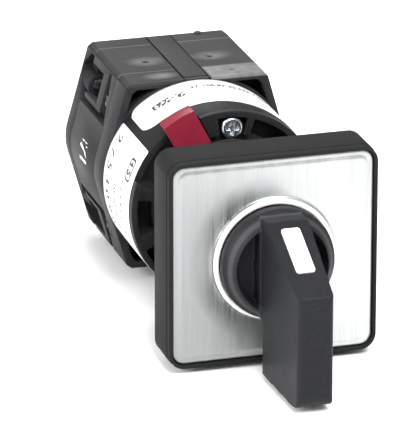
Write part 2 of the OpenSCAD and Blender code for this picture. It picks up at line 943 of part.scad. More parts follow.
module panel_gasket() {
    color([0.12, 0.12, 0.12])
        ring(-gasket_t, 0, gasket_outer_r - fit_gap, gasket_inner_r);
}

module front_bush() {
    count = floor(thread_len / thread_pitch);
    thread = concat(
        [[spindle_bore_r, neck_land], [thread_root_r, neck_land]],
        [for (k = [0:count - 1], part = [0:1])
            part == 0
                ? [thread_crest_r, neck_land + thread_pitch * (k + 0.5)]
                : [thread_root_r, neck_land + thread_pitch * (k + 1)]],
        [[thread_root_r, thread_end], [spindle_bore_r, thread_end]]
    );
    color([0.2, 0.2, 0.21])
        difference() {
            union() {
                rod(bush_front, floor_front + over, bush_front_r);
                rod(floor_front + fit_gap / 2, floor_front + bush_flange_t, bush_flange_r);
                rod(floor_front, 0, neck_inner_r);
                rod(-over, neck_land, neck_r);
                rotate([-90, 0, 0])
                    rotate_extrude()
                        polygon(thread);
                rod(thread_end - over, bush_end, plug_r);
            }
            rod(bush_front - over, bush_end + over, spindle_bore_r);
            rod(seal_y - seal_section_r - fit_gap, seal_y + seal_section_r + fit_gap, seal_groove_r);
        }
}

module spindle_seal() {
    color([0.1, 0.1, 0.1])
        translate([0, seal_y, 0])
            rotate([-90, 0, 0])
                rotate_extrude()
                    translate([spindle_bore_r + fit_gap / 2 + seal_section_r, 0])
                        circle(r = seal_section_r, $fn = 24);
}

module washer() {
    color([0.62, 0.64, 0.66])
        ring(panel_room, washer_back, washer_r, thread_crest_r + move_gap);
}

module ring_nut() {
    color([0.24, 0.24, 0.25])
        difference() {
            rod(washer_back, nut_back, nut_r);
            rod(washer_back - over, nut_back + over, nut_bore_r);
            for (k = [0:nut_notches - 1])
                turned(360 * k / nut_notches)
                    bar(0, nut_r, nut_notch_w, 2 * nut_notch_d, washer_back + nut_t * nut_notch_share,
                        nut_back + over);
        }
}

// Drum: mounting collar in front, latch housing behind it

// The slot in which the locking lever's arm swings, with parallel sides at both ends.
module lever_slot() {
    open_angle = lock_angle - lock_travel;
    difference() {
        union() {
            wedge(2 * drum_r, open_angle, lock_angle);
            for (a = [open_angle, lock_angle])
                rotate(-a)
                    translate([-lever_slot_w / 2, 0])
                        square([lever_slot_w, 2 * drum_r]);
        }
        circle(r = lock_lip_r + fit_gap);
    }
}

// The places of the two collar screws.
module at_collar_screws() {
    for (a = [screw_angle, screw_angle + 180])
        turned(a)
            translate([0, 0, screw_circle_r])
                children();
}

module mounting_collar() {
    color([0.15, 0.15, 0.16])
        difference() {
            union() {
                ring(collar_hub_front, collar_floor_back, collar_hub_r, plug_r + fit_gap);
                ring(drum_front - lock_lip, drum_front - fit_gap, lock_lip_r, plug_r + fit_gap);
                ring(collar_floor_front, collar_floor_back, collar_body_r, collar_throat_r);
                ring(collar_rim_back, collar_floor_back, pocket_inner_r, collar_throat_r);
                ring(drum_front, collar_rim_back, drum_r, rim_inner);
                intersection() {
                    ring(drum_front, collar_floor_back, collar_body_r, pocket_inner_r - fit_gap);
                    slab(drum_front, collar_floor_back)
                        for (span = rib_spans)
                            wedge(2 * drum_r, span[0], span[1]);
                }
                intersection() {
                    ring(drum_front, collar_rim_back, rim_inner + rim_wall / 2, collar_body_r - rim_wall / 2);
                    slab(drum_front, collar_rim_back)
                        for (span = rib_spans)
                            wedge(2 * drum_r, span[0], span[1]);
                }
                intersection() {
                    rod(screw_seat, collar_floor_back, collar_body_r);
                    at_collar_screws()
                        rod(screw_seat, collar_floor_back, screw_boss_r);
                }
            }
            rod(bush_end + move_gap, collar_floor_back + over, collar_throat_r);
            rod(collar_hub_front - over, bush_end + move_gap, plug_r + fit_gap);
            at_collar_screws() {
                rod(screw_seat - over, collar_floor_back + over, screw_r + fit_gap);
                rod(drum_front - over, screw_seat, screw_head_r + fit_gap);
            }
            slab(drum_front - over, collar_rim_back)
                lever_slot();
        }
}

module collar_screws() {
    color([0.82, 0.84, 0.86])
        difference() {
            at_collar_screws()
                union() {
                    rod(screw_seat - screw_head_t + screw_dome, screw_seat, screw_head_r);
                    translate([0, screw_seat - screw_head_t, 0])
                        rotate([-90, 0, 0])
                            cylinder(h = screw_dome, r1 = screw_head_r - screw_dome_w, r2 = screw_head_r);
                    rod(screw_seat - over, screw_end, screw_r);
                }
            at_collar_screws()
                cross_recess(0, 0, screw_seat - screw_head_t, 1);
        }
}

// The blocks that carry the threads of the tie bolts.
module bolt_bosses(y0, y1) {
    for (sz = [-1, 1])
        rod_at(0, sz * bolt_circle_r, y0, y1, bolt_boss_r);
}

module latch_housing() {
    guide = detent_half_w + fit_gap + detent_guide_t / 2;
    color([0.2, 0.2, 0.21])
        difference() {
            union() {
                difference() {
                    rod(latch_front, block_front, drum_r);
                    rod(latch_front - over, latch_floor_front, latch_recess_r);
                    rod(latch_floor_back, block_front + over, chamber_r);
                }
                intersection() {
                    rod(latch_floor_back - over, block_front, drum_r - latch_wall / 2);
                    union() {
                        for (sx = [-1, 1], sz = [-1, 1])
                            bar(sx * (chamber_r + over + detent_guide_in) / 2, sz * guide,
                                chamber_r + over - detent_guide_in, detent_guide_t,
                                latch_floor_back - over, star_back + 2 * fit_gap);
                        bolt_bosses(stop_front, block_front);
                        at_collar_screws()
                            rod(latch_floor_back - over, screw_end + 2 * end_play, screw_boss_r);
                    }
                }
            }
            rod(latch_floor_front - over, latch_floor_back + over, star_hub_r + run_gap);
            at_collar_screws()
                rod(latch_floor_front - over, screw_end + move_gap, screw_r + fit_gap / 2);
            for (sz = [-1, 1])
                rod_at(0, sz * bolt_circle_r, stop_front + bolt_inset - over, block_front + over,
                       bolt_r + fit_gap / 2);
        }
}

// A thin label wrapped round the drum.
module drum_label(y0, y1, a0, a1) {
    intersection() {
        ring(y0, y1, drum_r + label_t, drum_r);
        slab(y0, y1)
            wedge(2 * drum_r, a0, a1);
    }
}

module upper_label() {
    color([0.93, 0.93, 0.92])
        drum_label(block_front - label_gap - upper_label_w, block_front - label_gap,
                   upper_label_from, upper_label_to);
}

module side_label() {
    color([0.93, 0.93, 0.92])
        drum_label(latch_front, block_front - label_gap, side_label_from, side_label_to);
}

// Detent

// A detent plunger on one side: a round nose on a block that slides between its guides.
module detent_plunger(side) {
    color([0.88, 0.87, 0.82])
        mirror([side < 0 ? 1 : 0, 0, 0]) {
            rod_at(plunger_tip + detent_nose_r, 0, star_front + 2 * fit_gap, star_back - 2 * fit_gap,
                   detent_nose_r);
            bar(plunger_tip + (detent_nose_r + detent_len) / 2, 0, detent_len - detent_nose_r,
                2 * detent_half_w, star_front + 2 * fit_gap, star_back - 2 * fit_gap);
        }
}

module detent_spring(side) {
    start = plunger_tip + detent_len + fit_gap;
    length = chamber_r - fit_gap - start;
    color([0.6, 0.62, 0.65])
        mirror([side < 0 ? 1 : 0, 0, 0])
            translate([start, detent_y, 0])
                coil(length, detent_spring_r, spring_wire_r, turns_in(length));
}

module stop_ring() {
    reach = stop_lug_half + stop_post_half + stop_slack;
    color([0.5, 0.45, 0.3])
        union() {
            ring(stop_front - 2 * fit_gap, block_front - fit_gap, stop_ring_r + stop_ring_wall, stop_ring_r);
            slab(stop_front - 2 * fit_gap, stop_back + 2 * fit_gap)
                difference() {
                    for (a = [turn_min - reach, turn_max + reach])
                        wedge(stop_ring_r + stop_ring_wall / 2, a - stop_post_half, a + stop_post_half);
                    circle(r = stop_disc_r + stop_room);
                }
        }
}

// Contact block

// The grooves that the top and bottom strips lie in.
module strip_grooves(y0, y1) {
    half = strip_w / 2 + fit_gap;
    box([-half, y0 - over, block_top - strip_t], [half, y1 + over, block_top + over]);
    box([-half, y0 - over, -block_bottom + strip_t], [half, y1 + over, -block_bottom - over]);
}

module bolt_holes(y0, y1) {
    for (sz = [-1, 1])
        rod_at(0, sz * bolt_circle_r, y0 - over, y1 + over, bolt_r + fit_gap);
}

// Two tongues that close the slots of the contact plungers.
module guide_tongues(y0, y1) {
    for (sx = [-1, 1])
        box([sx * (cam_cavity_r + fit_gap), y0, -plunger_half_h],
            [sx * (chamber_in - fit_gap), y1, plunger_half_h]);
}

module front_frame() {
    color([0.24, 0.24, 0.25])
        difference() {
            union() {
                slab(block_front, frame_back)
                    block_outline(0);
                guide_tongues(frame_back - over, plane_front_y - plunger_half_w - fit_gap);
            }
            slab(block_front - over, block_front + frame_pocket_depth)
                difference() {
                    block_outline(frame_pocket_wall);
                    circle(r = drum_r + drum_clear);
                    square([2 * block_mid_half, 2 * block_top * frame_web_share], center = true);
                    square([2 * strip_w, 3 * block_top], center = true);
                }
            rod(block_front - over, frame_back + over, cam_hub_r + run_gap);
            bolt_holes(block_front, frame_back);
            strip_grooves(block_front + strip_start, frame_back + 2 * over);
            translate([frame_mark_x, block_front + frame_mark_y, block_top - mark_depth])
                cylinder(h = mark_depth + over, r = frame_mark_r, $fn = 24);
        }
}

// The chamber of one contact, open towards the end from which it is filled.
module contact_chamber(web_y, open_y, yc) {
    inward = sign(web_y - open_y);
    box([chamber_in, web_y, -chamber_half_h], [chamber_out, open_y, chamber_half_h]);
    box([cam_cavity_r - chamber_wall, open_y, -plunger_half_h - fit_gap],
        [chamber_in + over, yc + inward * (plunger_half_w + fit_gap), plunger_half_h + fit_gap]);
}

module contact_housing() {
    color([0.26, 0.26, 0.27])
        difference() {
            slab(frame_back, housing_back)
                block_outline(0);
            rod(frame_back - over, middle_y - web_t / 2, cam_cavity_r);
            rod(middle_y + web_t / 2, housing_back + over, cam_cavity_r);
            rod(frame_back, housing_back, rear_hub_r + run_gap);
            for (sx = [-1, 1])
                corner(sx, 1) {
                    contact_chamber(middle_y - web_t / 2, frame_back - over, plane_front_y);
                    contact_chamber(middle_y + web_t / 2, housing_back + over, plane_rear_y);
                }
            for (sx = [-1, 1], sz = [-1, 1])
                corner(sx, sz)
                    terminal_room(sz < 0 ? block_bottom : block_top);
            bolt_holes(frame_back, housing_back);
            strip_grooves(frame_back, housing_back);
            top_marks();
        }
}

// The hollow for two terminals in one corner, with its wire window in the slanted side.
module terminal_room(top) {
    // room of the front plane's terminal, in front of the window's bar
    box([outer_screw_x - clamp_w / 2 - move_gap, frame_back - over,
         outer_screw_z - clamp_h / 2 - 2 * fit_gap],
        [outer_screw_x + clamp_w / 2 + 2 * fit_gap, window_bar_front,
         outer_screw_z + clamp_h / 2 + 2 * fit_gap]);
    // way of the driver to that terminal's screw, and the seat of the rear cover's tube
    rod_at(outer_screw_x, outer_screw_z, window_bar_front - 3 * over, housing_back + over, tube_inner_r);
    rod_at(outer_screw_x, outer_screw_z, housing_back - tube_reach - 2 * fit_gap, housing_back + over,
           tube_r + fit_gap);
    // room of the rear plane's terminal
    box([inner_screw_x - clamp_w / 2 - move_gap, middle_y + web_t, inner_screw_z - clamp_h / 2 - move_gap],
        [outer_screw_x, housing_back + over, inner_screw_z + clamp_h / 2 + move_gap]);
    // slots that let the contact strips through
    box([fixed_tab_in - fit_gap, frame_back - over, tip_z],
        [outer_screw_x, window_bar_front, outer_screw_z + plate_half + fit_gap]);
    box([fixed_tab_in - fit_gap, rear_plate_y - fit_gap, tip_z],
        [fixed_tab_out + move_gap, housing_back + over, inner_screw_z]);
    // recess round the window, and the window itself, both cut from the side
    intersection() {
        difference() {
            window_recess(frame_back + over, housing_back + over);
            box([0, window_bar_front, window_low + window_sill + window_step],
                [block_mid_half + over, window_hole_back, top]);
        }
        side_skin(top, window_depth);
    }
    intersection() {
        box([outer_screw_x - clamp_w / 2 - window_step, window_hole_front,
             window_low + 2 * window_sill + window_step],
            [block_mid_half, window_hole_back, hole_top]);
        side_skin(top, block_mid_half);
    }
}

// Everything that lies less than a given depth under the slanted side.
module side_skin(top, depth) {
    slab(frame_back - 2 * over, block_back)
        polygon([
            [block_end_half - depth, top],
            [block_mid_half - depth, 0],
            [block_mid_half + over, 0],
            [block_end_half + over + (block_mid_half - block_end_half) * skin_flare_share, top]
        ]);
}

// The side view of the recess that starts in the housing and ends in a point in the rear cover.
module window_recess(y0, y1) {
    intersection() {
        translate([block_end_half - 2 * window_depth, 0, 0])
            rotate([0, 90, 0])
                rotate([0, 0, 90])
                    linear_extrude(height = block_mid_half)
                        polygon([
                            [frame_back + over, window_low],
                            [housing_back + over, window_low],
                            [block_back - fit_gap, window_tip_z],
                            [housing_back + over, window_top],
                            [frame_back + window_bar_w, window_top]
                        ]);
        box([0, y0, 0], [2 * block_mid_half, y1, 2 * block_top]);
    }
}

// Two shallow dishes with a small hole in the top face, one on each side of the strip.
module top_marks() {
    ball_r = (dish_r * dish_r + dish_depth * dish_depth) / (2 * dish_depth);
    mark_x = (strip_w / 2 + block_end_half) / 2 - mark_shift;
    mark_y = middle_y - mark_shift;
    for (sx = [-1, 1]) {
        translate([sx * mark_x, mark_y, block_top + ball_r - dish_depth])
            sphere(r = ball_r);
        translate([sx * mark_x, mark_y, block_top - mark_depth])
            cylinder(h = mark_depth + over, r = mark_r, $fn = 24);
    }
}

module rear_cover() {
    color([0.24, 0.24, 0.25])
        difference() {
            union() {
                difference() {
                    slab(housing_back, block_back)
                        block_outline(0);
                    for (sx = [-1, 1], sz = [-1, 1])
                        corner(sx, sz)
                            intersection() {
                                window_recess(housing_back - over, block_back);
                                side_skin(sz < 0 ? block_bottom : block_top, window_depth);
                            }
                }
                for (sx = [-1, 1], sz = [-1, 1])
                    rod_at(sx * outer_screw_x, sz * outer_screw_z, housing_back - tube_reach,
                           block_back, tube_r);
                guide_tongues(plane_rear_y + plunger_half_w + fit_gap, housing_back + over);
                translate([frame_mark_x, block_back - nub_r - fit_gap, block_top - over])
                    cylinder(h = nub_h + over, r = nub_r, $fn = 24);
            }
            rod(housing_back - over, housing_back + shaft_tail + 2 * fit_gap, rear_hub_r + run_gap);
            for (sx = [-1, 1], sz = [-1, 1]) {
                rod_at(sx * outer_screw_x, sz * outer_screw_z, housing_back - tube_reach - over,
                       block_back + over, driver_r);
                rod_at(sx * inner_screw_x, sz * inner_screw_z, housing_back - over,
                       block_back + over, driver_r);
            }
            bolt_holes(housing_back, block_back);
            for (sz = [-1, 1])
                rod_at(0, sz * bolt_circle_r, block_back - bolt_head_seat, block_back + over,
                       bolt_head_r + fit_gap);
            strip_grooves(housing_back, block_back - 2 * over);
        }
}

module strip(z_face, inward) {
    color([0.3, 0.3, 0.31])
        box([-strip_w / 2, block_front + strip_start + fit_gap, z_face + inward * (strip_t - run_gap)],
            [strip_w / 2, block_back - strip_end_gap, z_face - inward * fit_gap]);
}

module top_strip() {
    strip(block_top, -1);
}

module bottom_strip() {
    strip(-block_bottom, 1);
}

module tie_bolts() {
    color([0.75, 0.76, 0.78])
        for (sz = [-1, 1])
            difference() {
                union() {
                    rod_at(0, sz * bolt_circle_r, stop_front + bolt_inset, block_back - bolt_head_seat + over, bolt_r);
                    rod_at(0, sz * bolt_circle_r, block_back - bolt_head_seat, block_back - bolt_head_inset,
                           bolt_head_r);
                }
                cross_recess(0, sz * bolt_circle_r, block_back - bolt_head_inset, -1);
            }
}

// Contacts: number 1 is front left, 2 front right, 3 rear left and 4 rear right

function contact_side(k) = k % 2 == 1 ? -1 : 1;
function contact_y(k) = k <= 2 ? plane_front_y : plane_rear_y;

module contact_plunger(k) {
    color([0.9, 0.9, 0.86])
        corner(contact_side(k), 1) {
            nose_r = plunger_half_w * plunger_nose_share;
            rod_at(plunger_in + nose_r, 0, contact_y(k) - plunger_half_w, contact_y(k) + plunger_half_w, nose_r);
            box([plunger_in + nose_r, contact_y(k) - plunger_half_w, -plunger_half_h],
                [bridge_in - run_gap, contact_y(k) + plunger_half_w, plunger_half_h]);
            translate([bridge_in - over, contact_y(k), 0])
                rotate([0, 90, 0])
                    cylinder(h = over + strip_metal_t + stem_len, r = stem_r, $fn = 32);
        }
}

module contact_bridge(k) {
    color([0.78, 0.5, 0.32])
        corner(contact_side(k), 1)
            difference() {
                union() {
                    box([bridge_in, contact_y(k) - bridge_half_w, -bridge_half_h],
                        [bridge_out, contact_y(k) + bridge_half_w, bridge_half_h]);
                    for (sz = [-1, 1])
                        translate([bridge_in - tip_t, contact_y(k), sz * tip_z])
                            rotate([0, 90, 0])
                                cylinder(h = tip_t + over, r = tip_r, $fn = 32);
                }
                translate([bridge_in - over, contact_y(k), 0])
                    rotate([0, 90, 0])
                        cylinder(h = strip_metal_t + 2 * over, r = stem_r + fit_gap, $fn = 32);
            }
}

module contact_spring(k) {
    length = spring_room - 2 * fit_gap;
    color([0.6, 0.62, 0.65])
        corner(contact_side(k), 1)
            translate([bridge_out + fit_gap, contact_y(k), 0])
                coil(length, contact_spring_r, spring_wire_r, turns_in(length));
}

// A fixed contact: a tab with a silver tip, and a plate that reaches the terminal screw.
// Numbers 1 to 4 are in the front plane and 5 to 8 in the rear plane: top left, top right,
// bottom left and bottom right.
module terminal(k) {
    front = k <= 4;
    sx = k % 2 == 1 ? -1 : 1;
    sz = (k - 1) % 4 < 2 ? 1 : -1;
    yc = front ? plane_front_y : plane_rear_y;
    plate_y = front ? front_plate_y : rear_plate_y;
    hole_x = front ? outer_screw_x : inner_screw_x;
    hole_z = front ? outer_screw_z : inner_screw_z;
    color([0.8, 0.7, 0.45])
        corner(sx, sz)
            difference() {
                union() {
                    box([fixed_tab_in, yc - plunger_half_w, tip_z - tip_r],
                        [fixed_tab_out, yc + plunger_half_w, tip_z + tip_r]);
                    translate([fixed_tab_out - over, yc, tip_z])
                        rotate([0, 90, 0])
                            cylinder(h = tip_t + over, r = tip_r, $fn = 32);
                    box([fixed_tab_in, plate_y, tip_z],
                        [fixed_tab_out, plate_y + strip_metal_t, hole_z]);
                    box([min(fixed_tab_in, hole_x - plate_half), plate_y, hole_z - plate_half],
                        [hole_x + plate_half, plate_y + strip_metal_t, hole_z + plate_half]);
                }
                rod_at(hole_x, hole_z, plate_y - over, plate_y + strip_metal_t + over,
                       terminal_screw_r + fit_gap);
            }
}

// Calls its children at every terminal screw with the plate's rear face at y zero.
module at_terminals() {
    for (sx = [-1, 1], sz = [-1, 1]) {
        translate([sx * outer_screw_x, front_plate_y + strip_metal_t, sz * outer_screw_z])
            children();
        translate([sx * inner_screw_x, rear_plate_y + strip_metal_t, sz * inner_screw_z])
            children();
    }
}

module terminal_screws() {
    color([0.8, 0.81, 0.82])
        at_terminals()
            difference() {
                union() {
                    rod(-terminal_shank, over, terminal_screw_r);
                    rod(0, terminal_head_t, terminal_head_r);
                }
                bar(0, 0, terminal_slot_w, 2 * terminal_head_r + over, terminal_head_t - terminal_slot_depth,
                    terminal_head_t + over);
            }
}

module terminal_clamps() {
    back = -strip_metal_t - wire_gap;
    color([0.72, 0.73, 0.75])
        at_terminals()
            difference() {
                bar(0, 0, clamp_w, clamp_h, back - clamp_t, back);
                rod(back - clamp_t - over, back + over, terminal_screw_r + run_gap);
            }
}

knob();
pointer_insert();
front_spindle();
knob_screw();
spindle_clip();
switch_shaft();
detent_star();
stop_disc();
shaft_spacer();
cam_front();
cam_rear();
lock_lever();
bezel();
front_plate();
panel_gasket();
front_bush();
spindle_seal();
washer();
ring_nut();
mounting_collar();
collar_screws();
latch_housing();
upper_label();
side_label();
detent_plunger(-1);  // detent_plunger_left
detent_plunger(1);  // detent_plunger_right
detent_spring(-1);  // detent_spring_left
detent_spring(1);  // detent_spring_right
stop_ring();
front_frame();
contact_housing();
rear_cover();
top_strip();
bottom_strip();
tie_bolts();
terminal_clamps();
terminal_screws();
for (k = [1:4]) {
    contact_plunger(k);
    contact_bridge(k);
    contact_spring(k);
}
for (k = [1:8])
    terminal(k);
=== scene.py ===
# %% [markdown]
# # A cam switch, dressed for its portrait
# The real switch is a lever knob on a square frame, with a drum and a contact block behind it.
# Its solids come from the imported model, already in their places and in metres.
# Each step below takes one visible piece or finish, says what it is on the real object, and makes it.

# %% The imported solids
import bmesh
import bpy
import numpy as np
from mathutils import Matrix, Vector


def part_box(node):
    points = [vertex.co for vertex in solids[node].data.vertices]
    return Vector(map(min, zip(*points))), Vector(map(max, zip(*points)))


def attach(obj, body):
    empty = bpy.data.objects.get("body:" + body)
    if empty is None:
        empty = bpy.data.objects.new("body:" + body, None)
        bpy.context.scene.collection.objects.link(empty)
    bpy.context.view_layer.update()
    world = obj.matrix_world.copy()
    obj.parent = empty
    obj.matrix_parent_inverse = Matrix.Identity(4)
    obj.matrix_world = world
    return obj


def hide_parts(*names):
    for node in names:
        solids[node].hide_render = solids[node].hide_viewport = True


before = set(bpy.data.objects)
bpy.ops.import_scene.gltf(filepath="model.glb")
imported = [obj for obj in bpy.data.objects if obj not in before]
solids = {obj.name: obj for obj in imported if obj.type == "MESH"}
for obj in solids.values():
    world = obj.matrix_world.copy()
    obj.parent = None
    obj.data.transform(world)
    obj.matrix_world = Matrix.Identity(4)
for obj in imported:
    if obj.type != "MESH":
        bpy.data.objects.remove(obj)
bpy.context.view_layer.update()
MM = 0.001

# %% [markdown]
# ## The camera
# The photograph was taken from the upper left with a long lens.
# The numbers below are the turn, tilt and distance that lay the model's edges on the photograph's.
# The camera keeps no shift: the object simply stands right of and below the middle of the frame.

# %% Camera
AZIMUTH, ELEVATION, ROLL = -16.709, 20.2985, -0.0525
PIXELS_PER_MM, DISTANCE = 4.86609, 941.6987
PICTURE_W, PICTURE_H, SENSOR_H = 408.0, 444.0, 36.0
AIM_X, AIM_Y = 273.8471, 258.3269
OFF_X = (AIM_X - PICTURE_W / 2) / PIXELS_PER_MM
OFF_Y = (AIM_Y - PICTURE_H / 2) / PIXELS_PER_MM
RIM_FRONT = -10.5


def camera_axes(azimuth, elevation, roll):
    """Rows right, down and forward: forward goes from the camera to the object, and all roll about it."""
    a, e, r = np.radians([azimuth, elevation, roll])
    forward = -np.array([np.sin(a) * np.cos(e), -np.cos(a) * np.cos(e), np.sin(e)])
    right = np.cross(forward, [0.0, 0.0, 1.0])
    right /= np.linalg.norm(right)
    down = np.cross(forward, right)
    return np.array([np.cos(r) * right + np.sin(r) * down, -np.sin(r) * right + np.cos(r) * down, forward])


axes = camera_axes(AZIMUTH, ELEVATION, ROLL)
eye = np.array([-OFF_X, -OFF_Y, -DISTANCE]) @ axes + [0.0, RIM_FRONT, 0.0]
lens = bpy.data.cameras.new("portrait_lens")
lens.sensor_fit = "VERTICAL"
lens.sensor_height = SENSOR_H
lens.lens = PIXELS_PER_MM * DISTANCE / PICTURE_H * SENSOR_H
lens.clip_end = 20.0
camera = bpy.data.objects.new("portrait_camera", lens)
turn = np.eye(4)
turn[:3, 0], turn[:3, 1], turn[:3, 2], turn[:3, 3] = axes[0], -axes[1], -axes[2], eye * MM
camera.matrix_world = Matrix(turn.tolist())
bpy.context.scene.collection.objects.link(camera)
bpy.context.scene.camera = camera
bpy.context.scene.view_settings.view_transform = "Standard"
print("lens", round(lens.lens, 1), "mm, eye at", np.round(eye, 1), "mm")

# %% [markdown]
# ## Floor and light
# A studio shot of a dark object on white: a pale floor that fills the frame and a sky that is brighter
# high up. A large soft lamp hangs above the front, a second one stands on the left, and a weak one behind.

# %% Floor and lamps
FLOOR_Z = -23.6 * MM


def plain_material(name, colour, roughness):
    """A diffuse surface of one colour, for what isn't part of the object."""
    made = bpy.data.materials.new(name)
    made.use_nodes = True
    shader = made.node_tree.nodes["Principled BSDF"]
    shader.inputs["Base Color"].default_value = (*colour, 1.0)
    shader.inputs["Roughness"].default_value = roughness
    return made


floor_mesh = bpy.data.meshes.new("studio_floor")
FLOOR_REACH = 4.0
floor_mesh.from_pydata(
    [(right * FLOOR_REACH, back * FLOOR_REACH, FLOOR_Z)
     for right, back in ((-1, -1), (1, -1), (1, 1), (-1, 1))],
    [], [(0, 1, 2, 3)])
floor = bpy.data.objects.new("studio_floor", floor_mesh)
floor_mesh.materials.append(plain_material("white_paper", (0.96, 0.96, 0.96), 0.95))
bpy.context.scene.collection.objects.link(floor)


def soft_lamp(name, place, size, watts):
    """A square lamp that faces the object's middle from a place given in metres."""
    data = bpy.data.lights.new(name, "AREA")
    data.shape = "SQUARE"
    data.size = size
    data.energy = watts
    lamp = bpy.data.objects.new(name, data)
    aim = Vector((0.0, 0.02, 0.0)) - Vector(place)
    lamp.location = place
    lamp.rotation_euler = aim.to_track_quat("-Z", "Y").to_euler()
    bpy.context.scene.collection.objects.link(lamp)
    return lamp


soft_lamp("key_lamp", (0.15, -0.75, 1.15), 0.8, 26.0)
soft_lamp("left_lamp", (-1.1, -0.3, 0.5), 0.8, 16.0)
soft_lamp("rear_lamp", (0.15, 1.1, 0.9), 0.6, 5.0)
world = bpy.data.worlds.new("studio_sky")
bpy.context.scene.world = world
world.use_nodes = True
sky = world.node_tree
toward = sky.nodes.new("ShaderNodeTexCoord")
height = sky.nodes.new("ShaderNodeSeparateXYZ")
sky.links.new(toward.outputs["Generated"], height.inputs[0])
glow = sky.nodes.new("ShaderNodeMapRange")
for socket, number in (("From Min", 0.15), ("From Max", 0.7), ("To Min", 0.35), ("To Max", 0.85)):
    glow.inputs[socket].default_value = number
sky.links.new(height.outputs["Z"], glow.inputs["Value"])
sky.links.new(glow.outputs["Result"], sky.nodes["Background"].inputs["Strength"])
sky.nodes["Background"].inputs["Color"].default_value = (1.0, 1.0, 1.0, 1.0)
print("floor at", FLOOR_Z, "m")

# %% [markdown]
# ## Effects that several finishes share
# Moulded plastic isn't one flat colour: the mould was spark eroded, so the surface has a fine grain,
# and the melt leaves faint clouds. Handled metal and plastic both carry soft marks in their gloss.
# Each effect is a node group with named inputs, built once and placed in every material that needs it.

# %% Node group helpers
def new_group(name, inputs, outputs):
    """An empty shader group with the named sockets, and its input and output nodes."""
    group = bpy.data.node_groups.new(name, "ShaderNodeTree")
    for socket, kind, value in inputs:
        made = group.interface.new_socket(name=socket, in_out="INPUT", socket_type=kind)
        if value is not None:
            made.default_value = value
    for socket, kind in outputs:
        group.interface.new_socket(name=socket, in_out="OUTPUT", socket_type=kind)
    return group, group.nodes.new("NodeGroupInput"), group.nodes.new("NodeGroupOutput")


def noise(tree, vector, scale, detail, roughness=0.5):
    """A noise texture fed by a vector."""
    made = tree.nodes.new("ShaderNodeTexNoise")
    made.inputs["Scale"].default_value = scale
    made.inputs["Detail"].default_value = detail
    made.inputs["Roughness"].default_value = roughness
    tree.links.new(vector, made.inputs["Vector"])
    return made.outputs["Fac"]


def remap(tree, value, low, high, to_low, to_high):
    """Maps a value from one range to another, clamped."""
    made = tree.nodes.new("ShaderNodeMapRange")
    for socket, number in (("From Min", low), ("From Max", high), ("To Min", to_low), ("To Max", to_high)):
        made.inputs[socket].default_value = number
    tree.links.new(value, made.inputs["Value"])
    return made.outputs["Result"]


def sums(tree, kind, first, second):
    """One math node. Either side may be a socket or a number."""
    made = tree.nodes.new("ShaderNodeMath")
    made.operation = kind
    for place, side in enumerate((first, second)):
        if isinstance(side, (int, float)):
            made.inputs[place].default_value = side
        else:
            tree.links.new(side, made.inputs[place])
    return made.outputs[0]


def tinted(tree, colour, factor):
    """A colour scaled by a factor."""
    made = tree.nodes.new("ShaderNodeVectorMath")
    made.operation = "SCALE"
    tree.links.new(colour, made.inputs[0])
    tree.links.new(factor, made.inputs["Scale"])
    return made.outputs["Vector"]


def away(tree, x, z):
    """The distance from the shaft."""
    squares = sums(tree, "ADD", sums(tree, "MULTIPLY", x, x), sums(tree, "MULTIPLY", z, z))
    return sums(tree, "SQRT", squares, 0.0)


def lifted(tree, colour, amount):
    """A colour with the same amount added to its red, green and blue."""
    made = tree.nodes.new("ShaderNodeVectorMath")
    made.operation = "ADD"
    tree.links.new(colour, made.inputs[0])
    tree.links.new(amount, made.inputs[1])
    return made.outputs["Vector"]


def place_group(name, *amounts):
    """A group that changes a colour by the place: also gives its sockets x, y and z in metres."""
    group, given, back = new_group(
        name, [("Vector", "NodeSocketVector", None), ("Colour", "NodeSocketColor", (0.1, 0.1, 0.1, 1.0))]
        + [(amount, "NodeSocketFloat", 0.0) for amount in amounts],
        [("Colour", "NodeSocketColor")])
    split = group.nodes.new("ShaderNodeSeparateXYZ")
    group.links.new(given.outputs["Vector"], split.inputs[0])
    return group, given, back, [split.outputs[axis] for axis in "XYZ"]


# %% Grain of moulded plastic
grain_group, pin, pout = new_group(
    "mould_grain",
    [("Vector", "NodeSocketVector", None), ("Colour", "NodeSocketColor", (0.1, 0.1, 0.1, 1.0)),
     ("Roughness", "NodeSocketFloat", 0.45), ("Clouds", "NodeSocketFloat", 0.12),
     ("Speckle", "NodeSocketFloat", 0.2)],
    [("Colour", "NodeSocketColor"), ("Roughness", "NodeSocketFloat"), ("Height", "NodeSocketFloat")])
clouds = remap(grain_group, noise(grain_group, pin.outputs["Vector"], 90.0, 3.0), 0.3, 0.7, -1.0, 1.0)
fine = remap(grain_group, noise(grain_group, pin.outputs["Vector"], 2600.0, 2.0), 0.3, 0.7, -1.0, 1.0)
shade = sums(grain_group, "ADD", sums(grain_group, "MULTIPLY", clouds, pin.outputs["Clouds"]),
             sums(grain_group, "MULTIPLY", fine, pin.outputs["Speckle"]))
grain_group.links.new(tinted(grain_group, pin.outputs["Colour"], sums(grain_group, "ADD", shade, 1.0)),
                      pout.inputs["Colour"])
gloss = sums(grain_group, "ADD", pin.outputs["Roughness"], sums(grain_group, "MULTIPLY", clouds, 0.05))
grain_group.links.new(sums(grain_group, "ADD", gloss, sums(grain_group, "MULTIPLY", fine, 0.04)),
                      pout.inputs["Roughness"])
grain_group.links.new(fine, pout.inputs["Height"])
print("group", grain_group.name, "with", len(grain_group.nodes), "nodes")

